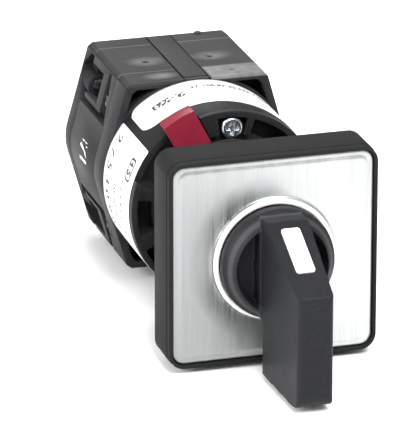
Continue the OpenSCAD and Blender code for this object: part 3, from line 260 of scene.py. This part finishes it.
# %% Lines of brushed metal
brush_group, bin_, bout = new_group(
    "brushed_lines",
    [("Vector", "NodeSocketVector", None), ("Colour", "NodeSocketColor", (0.7, 0.7, 0.7, 1.0)),
     ("Roughness", "NodeSocketFloat", 0.35), ("Contrast", "NodeSocketFloat", 0.2)],
    [("Colour", "NodeSocketColor"), ("Roughness", "NodeSocketFloat"), ("Height", "NodeSocketFloat")])
stretch = brush_group.nodes.new("ShaderNodeVectorMath")
stretch.operation = "MULTIPLY"
stretch.inputs[1].default_value = (1.0, 1.0, 0.03)
brush_group.links.new(bin_.outputs["Vector"], stretch.inputs[0])
drawn_out = stretch.outputs["Vector"]
lines = remap(brush_group, noise(brush_group, drawn_out, 2400.0, 3.0, 0.7), 0.3, 0.7, -1.0, 1.0)
bands = remap(brush_group, noise(brush_group, drawn_out, 420.0, 2.0), 0.3, 0.7, -1.0, 1.0)
both = sums(brush_group, "ADD", sums(brush_group, "MULTIPLY", lines, 0.6),
            sums(brush_group, "MULTIPLY", bands, 0.4))
brush_group.links.new(
    tinted(brush_group, bin_.outputs["Colour"],
           sums(brush_group, "ADD", sums(brush_group, "MULTIPLY", both, bin_.outputs["Contrast"]), 1.0)),
    bout.inputs["Colour"])
brush_group.links.new(
    sums(brush_group, "ADD", bin_.outputs["Roughness"], sums(brush_group, "MULTIPLY", both, 0.08)),
    bout.inputs["Roughness"])
brush_group.links.new(both, bout.inputs["Height"])
print("group", brush_group.name, "with", len(brush_group.nodes), "nodes")

# %% [markdown]
# A soft dark halo of painted shade lies on the brushed plate round the black knob, strongest on the left of
# the knob.
# The halo follows the distance from the shaft and is combed by the same upright lines.
# Painted shading also makes the plate lighter from left to right, and a little from its upper right to its
# lower right.

# %% Painted shade round the knob and across the plate
shade_halo_group, hin, hout, (x, y, z) = place_group("painted_knob_shade", "Lines", "Depth")
COLLAR_FOOT, HALO_END = 0.0135, 0.0185
PAINTED_TWIST = 330.0
from_shaft = away(shade_halo_group, x, z)
# Painted shading: the plate's colour grows lighter from left to right.
painted_sweep = remap(shade_halo_group, x, -0.02, 0.012, 0.62, 1.0)
# Painted shade: the plate's colour darkens near the knob's collar, most on the left.
near = remap(shade_halo_group, from_shaft, COLLAR_FOOT, HALO_END, 1.0, 0.0)
on_plate = remap(shade_halo_group, from_shaft, 0.0130, 0.0132, 0.0, 1.0)
left = remap(shade_halo_group, x, -0.010, 0.002, 1.0, 0.0)
off_level = remap(shade_halo_group, sums(shade_halo_group, "ABSOLUTE", z, 0.0), 0.002, 0.009, 0.45, 1.0)
shape = sums(shade_halo_group, "MULTIPLY", sums(shade_halo_group, "MULTIPLY", near, on_plate),
             sums(shade_halo_group, "MULTIPLY", left, off_level))
combed = sums(shade_halo_group, "MULTIPLY", shape, sums(shade_halo_group, "ADD", 1.0, hin.outputs["Lines"]))
dark = sums(shade_halo_group, "MULTIPLY", combed, hin.outputs["Depth"])
# Painted shading: lighter towards the lower right than towards the upper right.
twist = sums(shade_halo_group, "MULTIPLY", sums(shade_halo_group, "MULTIPLY", x, z), PAINTED_TWIST)
corners = sums(shade_halo_group, "SUBTRACT", 1.0, twist)
lit = sums(shade_halo_group, "MULTIPLY", sums(shade_halo_group, "SUBTRACT", 1.0, dark),
           sums(shade_halo_group, "MULTIPLY", painted_sweep, corners))
shade_halo_group.links.new(tinted(shade_halo_group, hin.outputs["Colour"], lit), hout.inputs["Colour"])
print("group", shade_halo_group.name, "with", len(shade_halo_group.nodes), "nodes")

# %% [markdown]
# The block's top is a moulded skin with painted sheen: a little lighter all over, and more on the panel at
# its front right, on a patch at the front left and softly round the two dishes. Two faint ribs cross it as
# painted highlights, and dark seams run beside the strip. All of this depends only on the place on the top.

# %% Sheen of the block's top
sheen_group, tin, tout, (x, y, z) = place_group("painted_top_sheen")
TOP_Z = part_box("contact_housing")[1][2]


def spot(tree, across_x, across_y, middle, stretch, inner, outer):
    """One at a point and nothing beyond a distance from it; the stretch flattens the spot along x."""
    dx = sums(tree, "MULTIPLY", sums(tree, "SUBTRACT", across_x, middle[0]), stretch)
    dy = sums(tree, "SUBTRACT", across_y, middle[1])
    squares = sums(tree, "ADD", sums(tree, "MULTIPLY", dx, dx), sums(tree, "MULTIPLY", dy, dy))
    return remap(tree, sums(tree, "SQRT", squares, 0.0), inner, outer, 1.0, 0.0)


def line(tree, value, middle, half):
    """One on a thin line and nothing beside it."""
    off = sums(tree, "ABSOLUTE", sums(tree, "SUBTRACT", value, middle), 0.0)
    return remap(tree, off, half * 0.5, half, 1.0, 0.0)


STRIP_EDGE, FRONT_RIB, REAR_RIB = 0.0029, 0.0518, 0.0700
from_middle = sums(sheen_group, "ABSOLUTE", x, 0.0)
on_top = remap(sheen_group, z, TOP_Z - 0.0008, TOP_Z - 0.0005, 0.0, 1.0)
beside = remap(sheen_group, from_middle, STRIP_EDGE, 0.0030, 0.0, 1.0)
streaks = remap(sheen_group, noise(sheen_group, tin.outputs["Vector"], 500.0, 3.0), 0.3, 0.7, 0.7, 1.2)
panel = sums(sheen_group, "MULTIPLY", remap(sheen_group, x, STRIP_EDGE, 0.0036, 0.0, 1.0),
             remap(sheen_group, y, 0.0514, 0.0517, 1.0, 0.0))
# Painted sheen: the panel, a patch, the dishes and two rib lines are lightened.
amounts = ((spot(sheen_group, from_middle, y, (0.0073, 0.0593), 0.7, 0.0008, 0.0036), 0.075), (panel, 0.12),
           (spot(sheen_group, x, y, (-0.0070, 0.0485), 0.55, 0.0006, 0.0026), 0.11),
           (line(sheen_group, y, FRONT_RIB, 0.0003), 0.06), (line(sheen_group, y, REAR_RIB, 0.0003), 0.07))
total = None
for shape, amount in amounts:
    part = sums(sheen_group, "MULTIPLY", shape, amount)
    total = part if total is None else sums(sheen_group, "ADD", total, part)
lift = sums(sheen_group, "MULTIPLY", sums(sheen_group, "MULTIPLY", total, streaks), beside)
lift = sums(sheen_group, "MULTIPLY", sums(sheen_group, "ADD", lift, 0.012), on_top)
seam = sums(sheen_group, "MULTIPLY", line(sheen_group, from_middle, 0.0028, 0.00026), on_top)
sheen_group.links.new(tinted(sheen_group, lifted(sheen_group, tin.outputs["Colour"], lift),
                             sums(sheen_group, "SUBTRACT", 1.0, sums(sheen_group, "MULTIPLY", seam, 0.95))),
                      tout.inputs["Colour"])
print("group", sheen_group.name, "with", len(sheen_group.nodes), "nodes")

# %% [markdown]
# The knob's rim carries a painted sheen: its front face is a little lighter than the rest of the knob.

# %% Painted sheen on the rim
rim_sheen_group, rin, rout, (x, y, z) = place_group("rim_painted_sheen", "Lift")
from_shaft = away(rim_sheen_group, x, z)
front_only = sums(rim_sheen_group, "MULTIPLY", remap(rim_sheen_group, y, -0.0162, -0.0157, 0.0, 1.0),
                  remap(rim_sheen_group, y, -0.0152, -0.0147, 1.0, 0.0))
# Painted sheen on the rim's front face.
rim_sheen_mask = sums(rim_sheen_group, "MULTIPLY", remap(rim_sheen_group, from_shaft, 0.0092, 0.0106, 0.0, 1.0), front_only)
rim_sheen_amount = sums(rim_sheen_group, "MULTIPLY", rim_sheen_mask, rin.outputs["Lift"])
rim_sheen_group.links.new(lifted(rim_sheen_group, rin.outputs["Colour"], rim_sheen_amount), rout.inputs["Colour"])
print("group", rim_sheen_group.name, "with", len(rim_sheen_group.nodes), "nodes")

# %% [markdown]
# Only the arm of the locking lever shows its red: near the shaft its colour is darkened almost to black.

# %% Dark foot of the lever
foot_group, fin, fout, (x, y, z) = place_group("dark_foot")
shade = remap(foot_group, away(foot_group, x, z), 0.0144, 0.0147, 0.08, 1.0)
foot_group.links.new(tinted(foot_group, fin.outputs["Colour"], shade), fout.inputs["Colour"])
print("group", foot_group.name, "with", len(foot_group.nodes), "nodes")

# %% [markdown]
# ## Finishes
# A finish is a material that reads the object's own coordinates, sends them through one of the groups
# and bumps the surface a few thousandths of a millimetre. Four finishes then send their colour
# through a second group, which changes it by the place.

# %% Finish builder
def finish(name, group, colour, roughness, depth, metallic=0.0, shine=0.3, **amounts):
    """Principled surface whose colour, gloss and bump come from one of the groups."""
    made = bpy.data.materials.new(name)
    made.use_nodes = True
    tree = made.node_tree
    shader = tree.nodes["Principled BSDF"]
    place = tree.nodes.new("ShaderNodeTexCoord")
    effect = tree.nodes.new("ShaderNodeGroup")
    effect.node_tree = group
    tree.links.new(place.outputs["Object"], effect.inputs["Vector"])
    effect.inputs["Colour"].default_value = (*colour, 1.0)
    effect.inputs["Roughness"].default_value = roughness
    for socket, amount in amounts.items():
        effect.inputs[socket].default_value = amount
    bump = tree.nodes.new("ShaderNodeBump")
    bump.inputs["Strength"].default_value = 1.0
    bump.inputs["Distance"].default_value = depth * MM
    tree.links.new(effect.outputs["Height"], bump.inputs["Height"])
    tree.links.new(effect.outputs["Colour"], shader.inputs["Base Color"])
    tree.links.new(effect.outputs["Roughness"], shader.inputs["Roughness"])
    tree.links.new(bump.outputs["Normal"], shader.inputs["Normal"])
    shader.inputs["Metallic"].default_value = metallic
    shader.inputs["Specular IOR Level"].default_value = shine
    return made


FINISH = {
    "knob": finish("knob_black", grain_group, (0.012, 0.0125, 0.0145),
                   0.5, 0.012, shine=0.14, Clouds=0.1, Speckle=0.25),
    "bezel": finish("frame_grey", grain_group, (0.016, 0.016, 0.017),
                    0.6, 0.012, shine=0.05, Clouds=0.08, Speckle=0.15),
    "drum": finish("drum_black", grain_group, (0.014, 0.014, 0.015),
                   0.45, 0.01, shine=0.12, Clouds=0.15, Speckle=0.2),
    "block": finish("block_black", grain_group, (0.020, 0.020, 0.0215),
                    0.5, 0.01, shine=0.08, Clouds=0.25, Speckle=0.15),
    "red": finish("lever_red", grain_group, (0.175, 0.012, 0.026), 0.34, 0.004, Clouds=0.05, Speckle=0.04),
    "white": finish("pointer_white", grain_group, (0.86, 0.86, 0.85),
                    0.4, 0.002, Clouds=0.02, Speckle=0.01),
    "film": finish("label_film", grain_group, (0.74, 0.75, 0.76), 0.38, 0.002, Clouds=0.02, Speckle=0.01),
    "rubber": finish("gasket_rubber", grain_group, (0.018, 0.018, 0.018),
                     0.7, 0.01, Clouds=0.1, Speckle=0.2),
    "natural": finish("natural_plastic", grain_group, (0.62, 0.58, 0.48),
                      0.45, 0.004, Clouds=0.05, Speckle=0.05),
    "plate": finish("plate_brushed", brush_group, (0.53, 0.545, 0.545),
                    0.36, 0.003, metallic=0.85, Contrast=0.14),
    # Painted highlight: the collar of the metal plate is made near white and less metallic.
    "ring": finish("collar_painted_highlight", brush_group, (0.95, 0.95, 0.95),
                   0.4, 0.001, metallic=0.25, Contrast=0.03),
    "zinc": finish("zinc_steel", brush_group, (0.62, 0.65, 0.68), 0.3, 0.002, metallic=1.0, Contrast=0.08),
    "spring": finish("spring_steel", brush_group, (0.45, 0.46, 0.48),
                     0.3, 0.002, metallic=1.0, Contrast=0.1),
    "copper": finish("contact_copper", brush_group, (0.72, 0.38, 0.22),
                     0.3, 0.002, metallic=1.0, Contrast=0.08),
    "tin": finish("terminal_tin", brush_group, (0.66, 0.66, 0.63), 0.3, 0.002, metallic=1.0, Contrast=0.08),
    "ink": finish("label_ink", grain_group, (0.02, 0.02, 0.022), 0.5, 0.001, Clouds=0.1, Speckle=0.1),
    "paint": finish("digit_paint", grain_group, (0.8, 0.8, 0.8), 0.5, 0.001, Clouds=0.1, Speckle=0.1),
}


def recolour(look, group, lines=False, **amounts):
    """Sends a finish's colour through one more group on its way to the shader."""
    tree = FINISH[look].node_tree
    effect = next(node for node in tree.nodes if node.type == "GROUP")
    position = next(node for node in tree.nodes if node.type == "TEX_COORD")
    extra = tree.nodes.new("ShaderNodeGroup")
    extra.node_tree = group
    tree.links.new(position.outputs["Object"], extra.inputs["Vector"])
    tree.links.new(effect.outputs["Colour"], extra.inputs["Colour"])
    if lines:
        tree.links.new(effect.outputs["Height"], extra.inputs["Lines"])
    for socket, amount in amounts.items():
        extra.inputs[socket].default_value = amount
    tree.links.new(extra.outputs["Colour"], tree.nodes["Principled BSDF"].inputs["Base Color"])


# The plate's colour gets painted shade round the knob and painted shading across it.
recolour("plate", shade_halo_group, lines=True, Depth=0.64)
# The block's top gets painted sheen.
recolour("block", sheen_group)
# The knob's rim gets painted sheen.
recolour("knob", rim_sheen_group, Lift=0.03)
recolour("red", foot_group)
print("finishes:", len(FINISH))

# %% Every solid gets its finish
WEARS = {
    "knob": ["knob"], "white": ["pointer_insert"], "red": ["lock_lever"],
    "bezel": ["bezel"], "plate": ["front_plate"],
    "film": ["upper_label", "side_label"], "rubber": ["panel_gasket", "spindle_seal"],
    "drum": ["front_bush", "ring_nut", "mounting_collar", "latch_housing"],
    "block": ["front_frame", "contact_housing", "rear_cover", "top_strip", "bottom_strip"],
    "zinc": ["collar_screws", "tie_bolts", "terminal_screws", "terminal_clamps", "knob_screw",
             "switch_shaft", "stop_ring", "washer"],
    "spring": ["spindle_clip"] + [n for n in solids if "spring" in n],
    "natural": ["front_spindle", "detent_star", "stop_disc", "shaft_spacer", "cam_front", "cam_rear"]
               + [n for n in solids if "plunger" in n],
    "copper": [n for n in solids if n.startswith("contact_bridge")],
    "tin": [n for n in solids if n.startswith("terminal_") and n[-1].isdigit()],
}
for look, nodes in WEARS.items():
    for node in nodes:
        mesh = solids[node].data
        mesh.materials.clear()
        mesh.materials.append(FINISH[look])
dressed = {node for nodes in WEARS.values() for node in nodes}
print("bare solids:", sorted(set(solids) - dressed))

# %% [markdown]
# ## Softened edges
# No moulded edge is truly sharp. A copy of the solid is merged into one skin, its flat faces are joined,
# and a Bevel rounds every edge that turns by more than a set angle, so that edges catch the light.
# The copy then stands for the solid, which stays in the model for the motion.

# %% Softening
def add_piece(name, mesh, look, body, *nodes):
    """Puts a mesh in the scene as a piece that rides on a body and may stand for solids."""
    piece = bpy.data.objects.new(name, mesh)
    mesh.materials.clear()
    mesh.materials.append(FINISH[look])
    bpy.context.scene.collection.objects.link(piece)
    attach(piece, body)
    if nodes:
        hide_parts(*nodes)
    return piece


def softened(node, width, look, body, segments=2, angle=28.0):
    """A merged copy of a solid with rounded edges, the width in millimetres."""
    mesh = solids[node].data.copy()
    mesh.name = node + "_soft"
    skin = bmesh.new()
    skin.from_mesh(mesh)
    bmesh.ops.remove_doubles(skin, verts=skin.verts, dist=2e-6)
    bmesh.ops.dissolve_limit(skin, angle_limit=np.radians(1.0), verts=skin.verts, edges=skin.edges,
                             delimit={"NORMAL"})
    skin.to_mesh(mesh)
    skin.free()
    mesh.polygons.foreach_set("use_smooth", np.ones(len(mesh.polygons), dtype=bool))
    piece = add_piece(node + "_soft", mesh, look, body, node)
    round_off = piece.modifiers.new("rounded_edges", "BEVEL")
    round_off.width = width * MM
    round_off.segments = segments
    round_off.limit_method = "ANGLE"
    round_off.angle_limit = np.radians(angle)
    round_off.harden_normals = True
    round_off.miter_outer = "MITER_ARC"
    return piece


SOFT = (("bezel", 0.35, "bezel", "housing", 3),
        ("mounting_collar", 0.15, "drum", "housing", 2), ("latch_housing", 0.12, "drum", "housing", 2),
        ("front_frame", 0.15, "block", "housing", 2), ("contact_housing", 0.12, "block", "housing", 2),
        ("rear_cover", 0.2, "block", "housing", 2), ("top_strip", 0.12, "block", "housing", 2),
        ("bottom_strip", 0.12, "block", "housing", 2), ("lock_lever", 0.25, "red", "lock", 3),
        ("pointer_insert", 0.05, "white", "rotor", 2), ("ring_nut", 0.2, "drum", "housing", 2),
        ("collar_screws", 0.12, "zinc", "housing", 2))
soft_pieces = {node: softened(node, width, look, body, steps) for node, width, look, body, steps in SOFT}

# %% [markdown]
# ## The knob
# The knob is the piece that hands wear and eyes rest on, and its edges are clearly round.
# Its copy is turned into an even skin of small squares, and smoothing that skin rounds every edge alike.

# %% Round-edged knob
knob_mesh = solids["knob"].data.copy()
knob_mesh.name = "knob_soft"
knob = add_piece("knob_soft", knob_mesh, "knob", "rotor", "knob")
skin = knob.modifiers.new("even_skin", "REMESH")
skin.mode = "VOXEL"
skin.voxel_size = 0.22 * MM
skin.use_smooth_shade = True
rounding = knob.modifiers.new("rounded_edges", "SMOOTH")
rounding.factor = 0.5
rounding.iterations = 5
print("softened:", {node: len(piece.data.polygons) for node, piece in soft_pieces.items()})

# %% [markdown]
# ## Surfaces from whole arrays
# The pressed plate and the labels are sheets. Each is a grid of points worked out at once:
# one parameter runs round or along the sheet and the other across it.

# %% Grid to mesh
def grid_mesh(name, points, closed=False):
    """Quads over an array of points, rows by columns by three; closed joins the last row to the first."""
    rows, columns = points.shape[:2]
    last = rows if closed else rows - 1
    i, j = np.meshgrid(np.arange(last), np.arange(columns - 1), indexing="ij")
    k = (i + 1) % rows
    here, beyond = i * columns + j, k * columns + j
    corners = np.stack([here, beyond, beyond + 1, here + 1], axis=-1)
    mesh = bpy.data.meshes.new(name)
    mesh.vertices.add(rows * columns)
    mesh.vertices.foreach_set("co", (points * MM).astype(np.float32).ravel())
    quads = corners.reshape(-1, 4)
    mesh.loops.add(quads.size)
    mesh.loops.foreach_set("vertex_index", quads.ravel().astype(np.int32))
    mesh.polygons.add(len(quads))
    mesh.polygons.foreach_set("loop_start", np.arange(0, quads.size, 4, dtype=np.int32))
    mesh.polygons.foreach_set("use_smooth", np.ones(len(quads), dtype=bool))
    mesh.update(calc_edges=True)
    mesh.validate()
    return mesh


# %% [markdown]
# ## The pressed front plate
# One sheet of brushed metal: its border is rolled down, its middle is flat,
# and round the knob it is drawn up into a collar, whose faces carry a painted highlight: a nearly white,
# less metallic finish.

# %% Front plate
def square_ring(angle, half, corner):
    """Distance from the middle to the edge of a rounded square, along rays at the given angles."""
    c, s = np.abs(np.cos(angle)), np.abs(np.sin(angle))
    straight = half / np.maximum(c, s)
    middle = half - corner
    along = middle * (c + s)
    inside = np.sqrt(np.maximum(along ** 2 - 2 * middle ** 2 + corner ** 2, 0.0))
    other = np.where(c > s, straight * s, straight * c)
    return np.where(other > middle, along + inside, straight)


plate_low, plate_high = (np.array(corner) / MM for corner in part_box("front_plate"))
PLATE_HALF = (plate_high[0] - plate_low[0]) / 2
PLATE_FACE = -10.2
CORNER_R, SIDES = 2.5, 384
BORDER = ((0.0, -9.42), (0.02, -9.7), (0.12, -9.86), (0.32, -9.94), (0.62, -9.97), (0.95, -9.97),
          (1.2, -10.02), (1.4, -10.12), (1.65, -10.19), (2.0, -10.2))
COLLAR = ((13.75, -10.2), (13.4, -10.26), (13.2, -10.5), (13.12, -10.9), (13.02, -11.18), (12.82, -11.36),
          (12.5, -11.4), (12.2, -11.38), (12.0, -11.22), (11.92, -10.9), (11.91, -9.42))
HIGHLIGHT_FROM = 3
angles = np.linspace(2 * np.pi, 0.0, SIDES + 1)[:-1]
columns = [(square_ring(angles, PLATE_HALF - inset, CORNER_R - 0.5 * inset), depth)
           for inset, depth in BORDER]
edge, collar_edge = columns[-1][0], COLLAR[0][0]
columns += [(edge + (collar_edge - edge) * t, PLATE_FACE) for t in np.linspace(0.08, 0.92, 12)]
columns += [(np.full_like(angles, radius), depth) for radius, depth in COLLAR]
radii = np.stack([radius for radius, depth in columns], axis=1)
depths = np.broadcast_to([depth for radius, depth in columns], radii.shape)
plate_points = np.stack([radii * np.sin(angles)[:, None], depths, radii * np.cos(angles)[:, None]], axis=-1)
plate_mesh = grid_mesh("pressed_plate", plate_points, closed=True)
plate = add_piece("pressed_plate", plate_mesh, "plate", "housing", "front_plate")
plate_mesh.materials.append(FINISH["ring"])
across = len(columns) - 1
# The collar's faces get the painted highlight finish.
highlight_faces = np.arange(len(plate_mesh.polygons)) % across >= across - len(COLLAR) + 1 + HIGHLIGHT_FROM
plate_mesh.polygons.foreach_set("material_index", highlight_faces.astype(np.int32))
print("plate:", len(plate_mesh.polygons), "faces, half width", round(PLATE_HALF, 2), "mm")

# %% [markdown]
# ## The retaining ring
# A thin black ring on the drum's hub keeps the locking lever in its seat and hides the lever's own ring.
# It is a closed profile turned round the shaft.

# %% Retaining ring
CAP = ((14.1, 22.45), (14.1, 21.75), (14.2, 21.65), (14.85, 21.65), (14.98, 21.78), (14.98, 22.45),
       (14.1, 22.45))
turns = np.linspace(0.0, 2 * np.pi, SIDES // 2 + 1)[:-1]
profile = np.array(CAP)
cap_points = np.stack([np.outer(np.sin(turns), profile[:, 0]), np.tile(profile[:, 1], (len(turns), 1)),
                       np.outer(np.cos(turns), profile[:, 0])], axis=-1)
cap_mesh = grid_mesh("retaining_ring", cap_points[:, ::-1], closed=True)
cap = add_piece("retaining_ring", cap_mesh, "drum", "housing")
print("retaining ring:", len(cap.data.polygons), "faces")

# %% [markdown]
# ## Labels on the drum
# Two printed films are wrapped round the drum. A film is a strip in two parameters: the angle round
# the drum and the place along it. Its corners are cut round by shortening the strip near its ends.

# %% Label films
FILM_R, FILM_THICKNESS, INK_GAP = 21.14, 0.1, 0.012


def film(name, start, stop, front, rear, corner, node):
    """A film between two angles; front and rear give its edges by angle, corner is its corners' radius."""
    arc = np.radians(stop - start) * FILM_R
    s = arc * (1 - np.cos(np.linspace(0.0, np.pi, 121))) / 2
    near = np.minimum(s, arc - s)
    rounded = corner - np.sqrt(np.maximum(corner ** 2 - (corner - near) ** 2, 0.0))
    cut = np.where(near < corner, rounded, 0.0)
    a = start + np.degrees(s / FILM_R)
    low, high = front(a) + cut, rear(a) - cut
    t = np.linspace(0.0, 1.0, 17)
    y = low[:, None] + (high - low)[:, None] * t
    a = np.radians(np.broadcast_to(a[:, None], y.shape))
    points = np.stack([FILM_R * np.sin(a), y, FILM_R * np.cos(a)], axis=-1)
    piece = add_piece(name, grid_mesh(name, points), "film", "housing", node)
    thickness = piece.modifiers.new("film_thickness", "SOLIDIFY")
    thickness.thickness = FILM_THICKNESS * MM
    thickness.offset = -1.0
    return piece


film("upper_film", -46.5, 72.0, lambda a: 29.6 - 0.04 * a, lambda a: 44.1 - 0.02 * a, 3.4,
     "upper_label")
film("side_film", -142.0, -52.0, lambda a: 24.6 + 0 * a, lambda a: 44.3 + 0 * a, 0.6, "side_label")

# %% [markdown]
# ## Print
# The labels carry plain digits and rules. A flat line of digits is turned into triangles,
# and its points are wrapped round the drum in one go.

# %% Printed digits
DIGIT_SHARE = 0.7


def flat_text(words, height, bold):
    """The triangles of a line of text, as an array of points in millimetres and a list of faces."""
    curve = bpy.data.curves.new("type", "FONT")
    curve.body = words
    curve.size = height / DIGIT_SHARE
    curve.offset = bold
    curve.resolution_u = 4
    curve.align_x = "LEFT"
    holder = bpy.data.objects.new("type", curve)
    bpy.context.scene.collection.objects.link(holder)
    bpy.context.view_layer.update()
    mesh = bpy.data.meshes.new_from_object(holder.evaluated_get(bpy.context.evaluated_depsgraph_get()))
    points = np.empty(len(mesh.vertices) * 3)
    mesh.vertices.foreach_get("co", points)
    faces = [tuple(face.vertices) for face in mesh.polygons]
    bpy.data.objects.remove(holder)
    bpy.data.curves.remove(curve)
    bpy.data.meshes.remove(mesh)
    return points.reshape(-1, 3), faces


def print_piece(name, points, faces, look, body):
    """A thin print from points in millimetres, facing outwards."""
    mesh = bpy.data.meshes.new(name)
    mesh.from_pydata((points * MM).tolist(), [], faces)
    mesh.validate()
    return add_piece(name, mesh, look, body)


def drum_print(name, words, height, angle, along, bold):
    """Digits on a film: the line runs back round the drum from an angle, with its top to the front."""
    flat, faces = flat_text(words, height, bold)
    a = np.radians(angle) - flat[:, 0] / FILM_R
    y = along - flat[:, 1]
    r = FILM_R + INK_GAP
    points = np.stack([r * np.sin(a), y, r * np.cos(a)], axis=-1)
    piece = print_piece(name, points, faces, "ink", "housing")
    return piece


PRINTS = (("upper_digits", "2 468", 2.3, -13.5, 39.1, 0.24),
          ("upper_small_digits", "1234 567 890 1 234 56 78 901 23", 1.35, 64.0, 40.7, 0.07),
          ("upper_small_digits_2", "45 678 90", 1.1, 64.0, 37.6, 0.03),
          ("side_digits", "2 7 5 3 0 9 6 8", 2.9, -57.0, 42.6, 0.08),
          ("side_small_digits", "10 20 30 40 50", 1.7, -82.0, 36.4, 0.04),
          ("side_small_digits_2", "1 2 3 4 5 6 7 8", 1.5, -76.0, 31.6, 0.04))
for name, words, height, angle, along, bold in PRINTS:
    drum_print(name, words, height, angle, along, bold)
print("lines of digits on the drum:", len(PRINTS))

# %% [markdown]
# A ruled box with rounded corners stands on the side label, beside the first rows of digits.
# It is a band between two rounded rectangles, wrapped round the drum like the digits.

# %% Ruled box
def ruled_box(name, start, width, front, depth, rule):
    """A rectangular rule on the drum: sizes in millimetres, the start as an angle."""
    t = np.linspace(0.0, 2 * np.pi, 65)[:-1]
    shape = np.stack([np.cos(t), np.sin(t)], axis=-1)
    shape = np.sign(shape) * np.abs(shape) ** 0.35
    half = np.array([width, depth]) / 2
    rings = np.stack([shape * half, shape * (half - rule)], axis=1)
    a = np.radians(start) - (rings[..., 0] + half[0]) / FILM_R
    y = front + half[1] + rings[..., 1]
    r = FILM_R + INK_GAP
    points = np.stack([r * np.sin(a), y, r * np.cos(a)], axis=-1)
    piece = add_piece(name, grid_mesh(name, points, closed=True), "ink", "housing")
    return piece


ruled_box("side_ruled_box", -61.0, 5.2, 27.0, 3.2, 0.45)
drum_print("side_box_digits", "4 5", 1.9, -62.6, 29.6, bold=0.1)

# %% Digits on the block's side
RIDGE_X, RIDGE_R = 9.22, 12.0


def side_print(name, words, height, narrow, y, z):
    """Digits that run down the rounded ridge of the block's left side, with their tops to the front."""
    flat, faces = flat_text(words, height, 0.16)
    along = y - flat[:, 1]
    up = z - narrow * flat[:, 0]
    x = -(RIDGE_X + np.sqrt(np.maximum((RIDGE_R + INK_GAP) ** 2 - up ** 2, 0.0)))
    piece = print_piece(name, np.stack([x, along, up], axis=-1), faces, "paint", "housing")
    return piece


side_print("side_digits_block", "371", 4.8, 0.72, 63.2, 5.6)
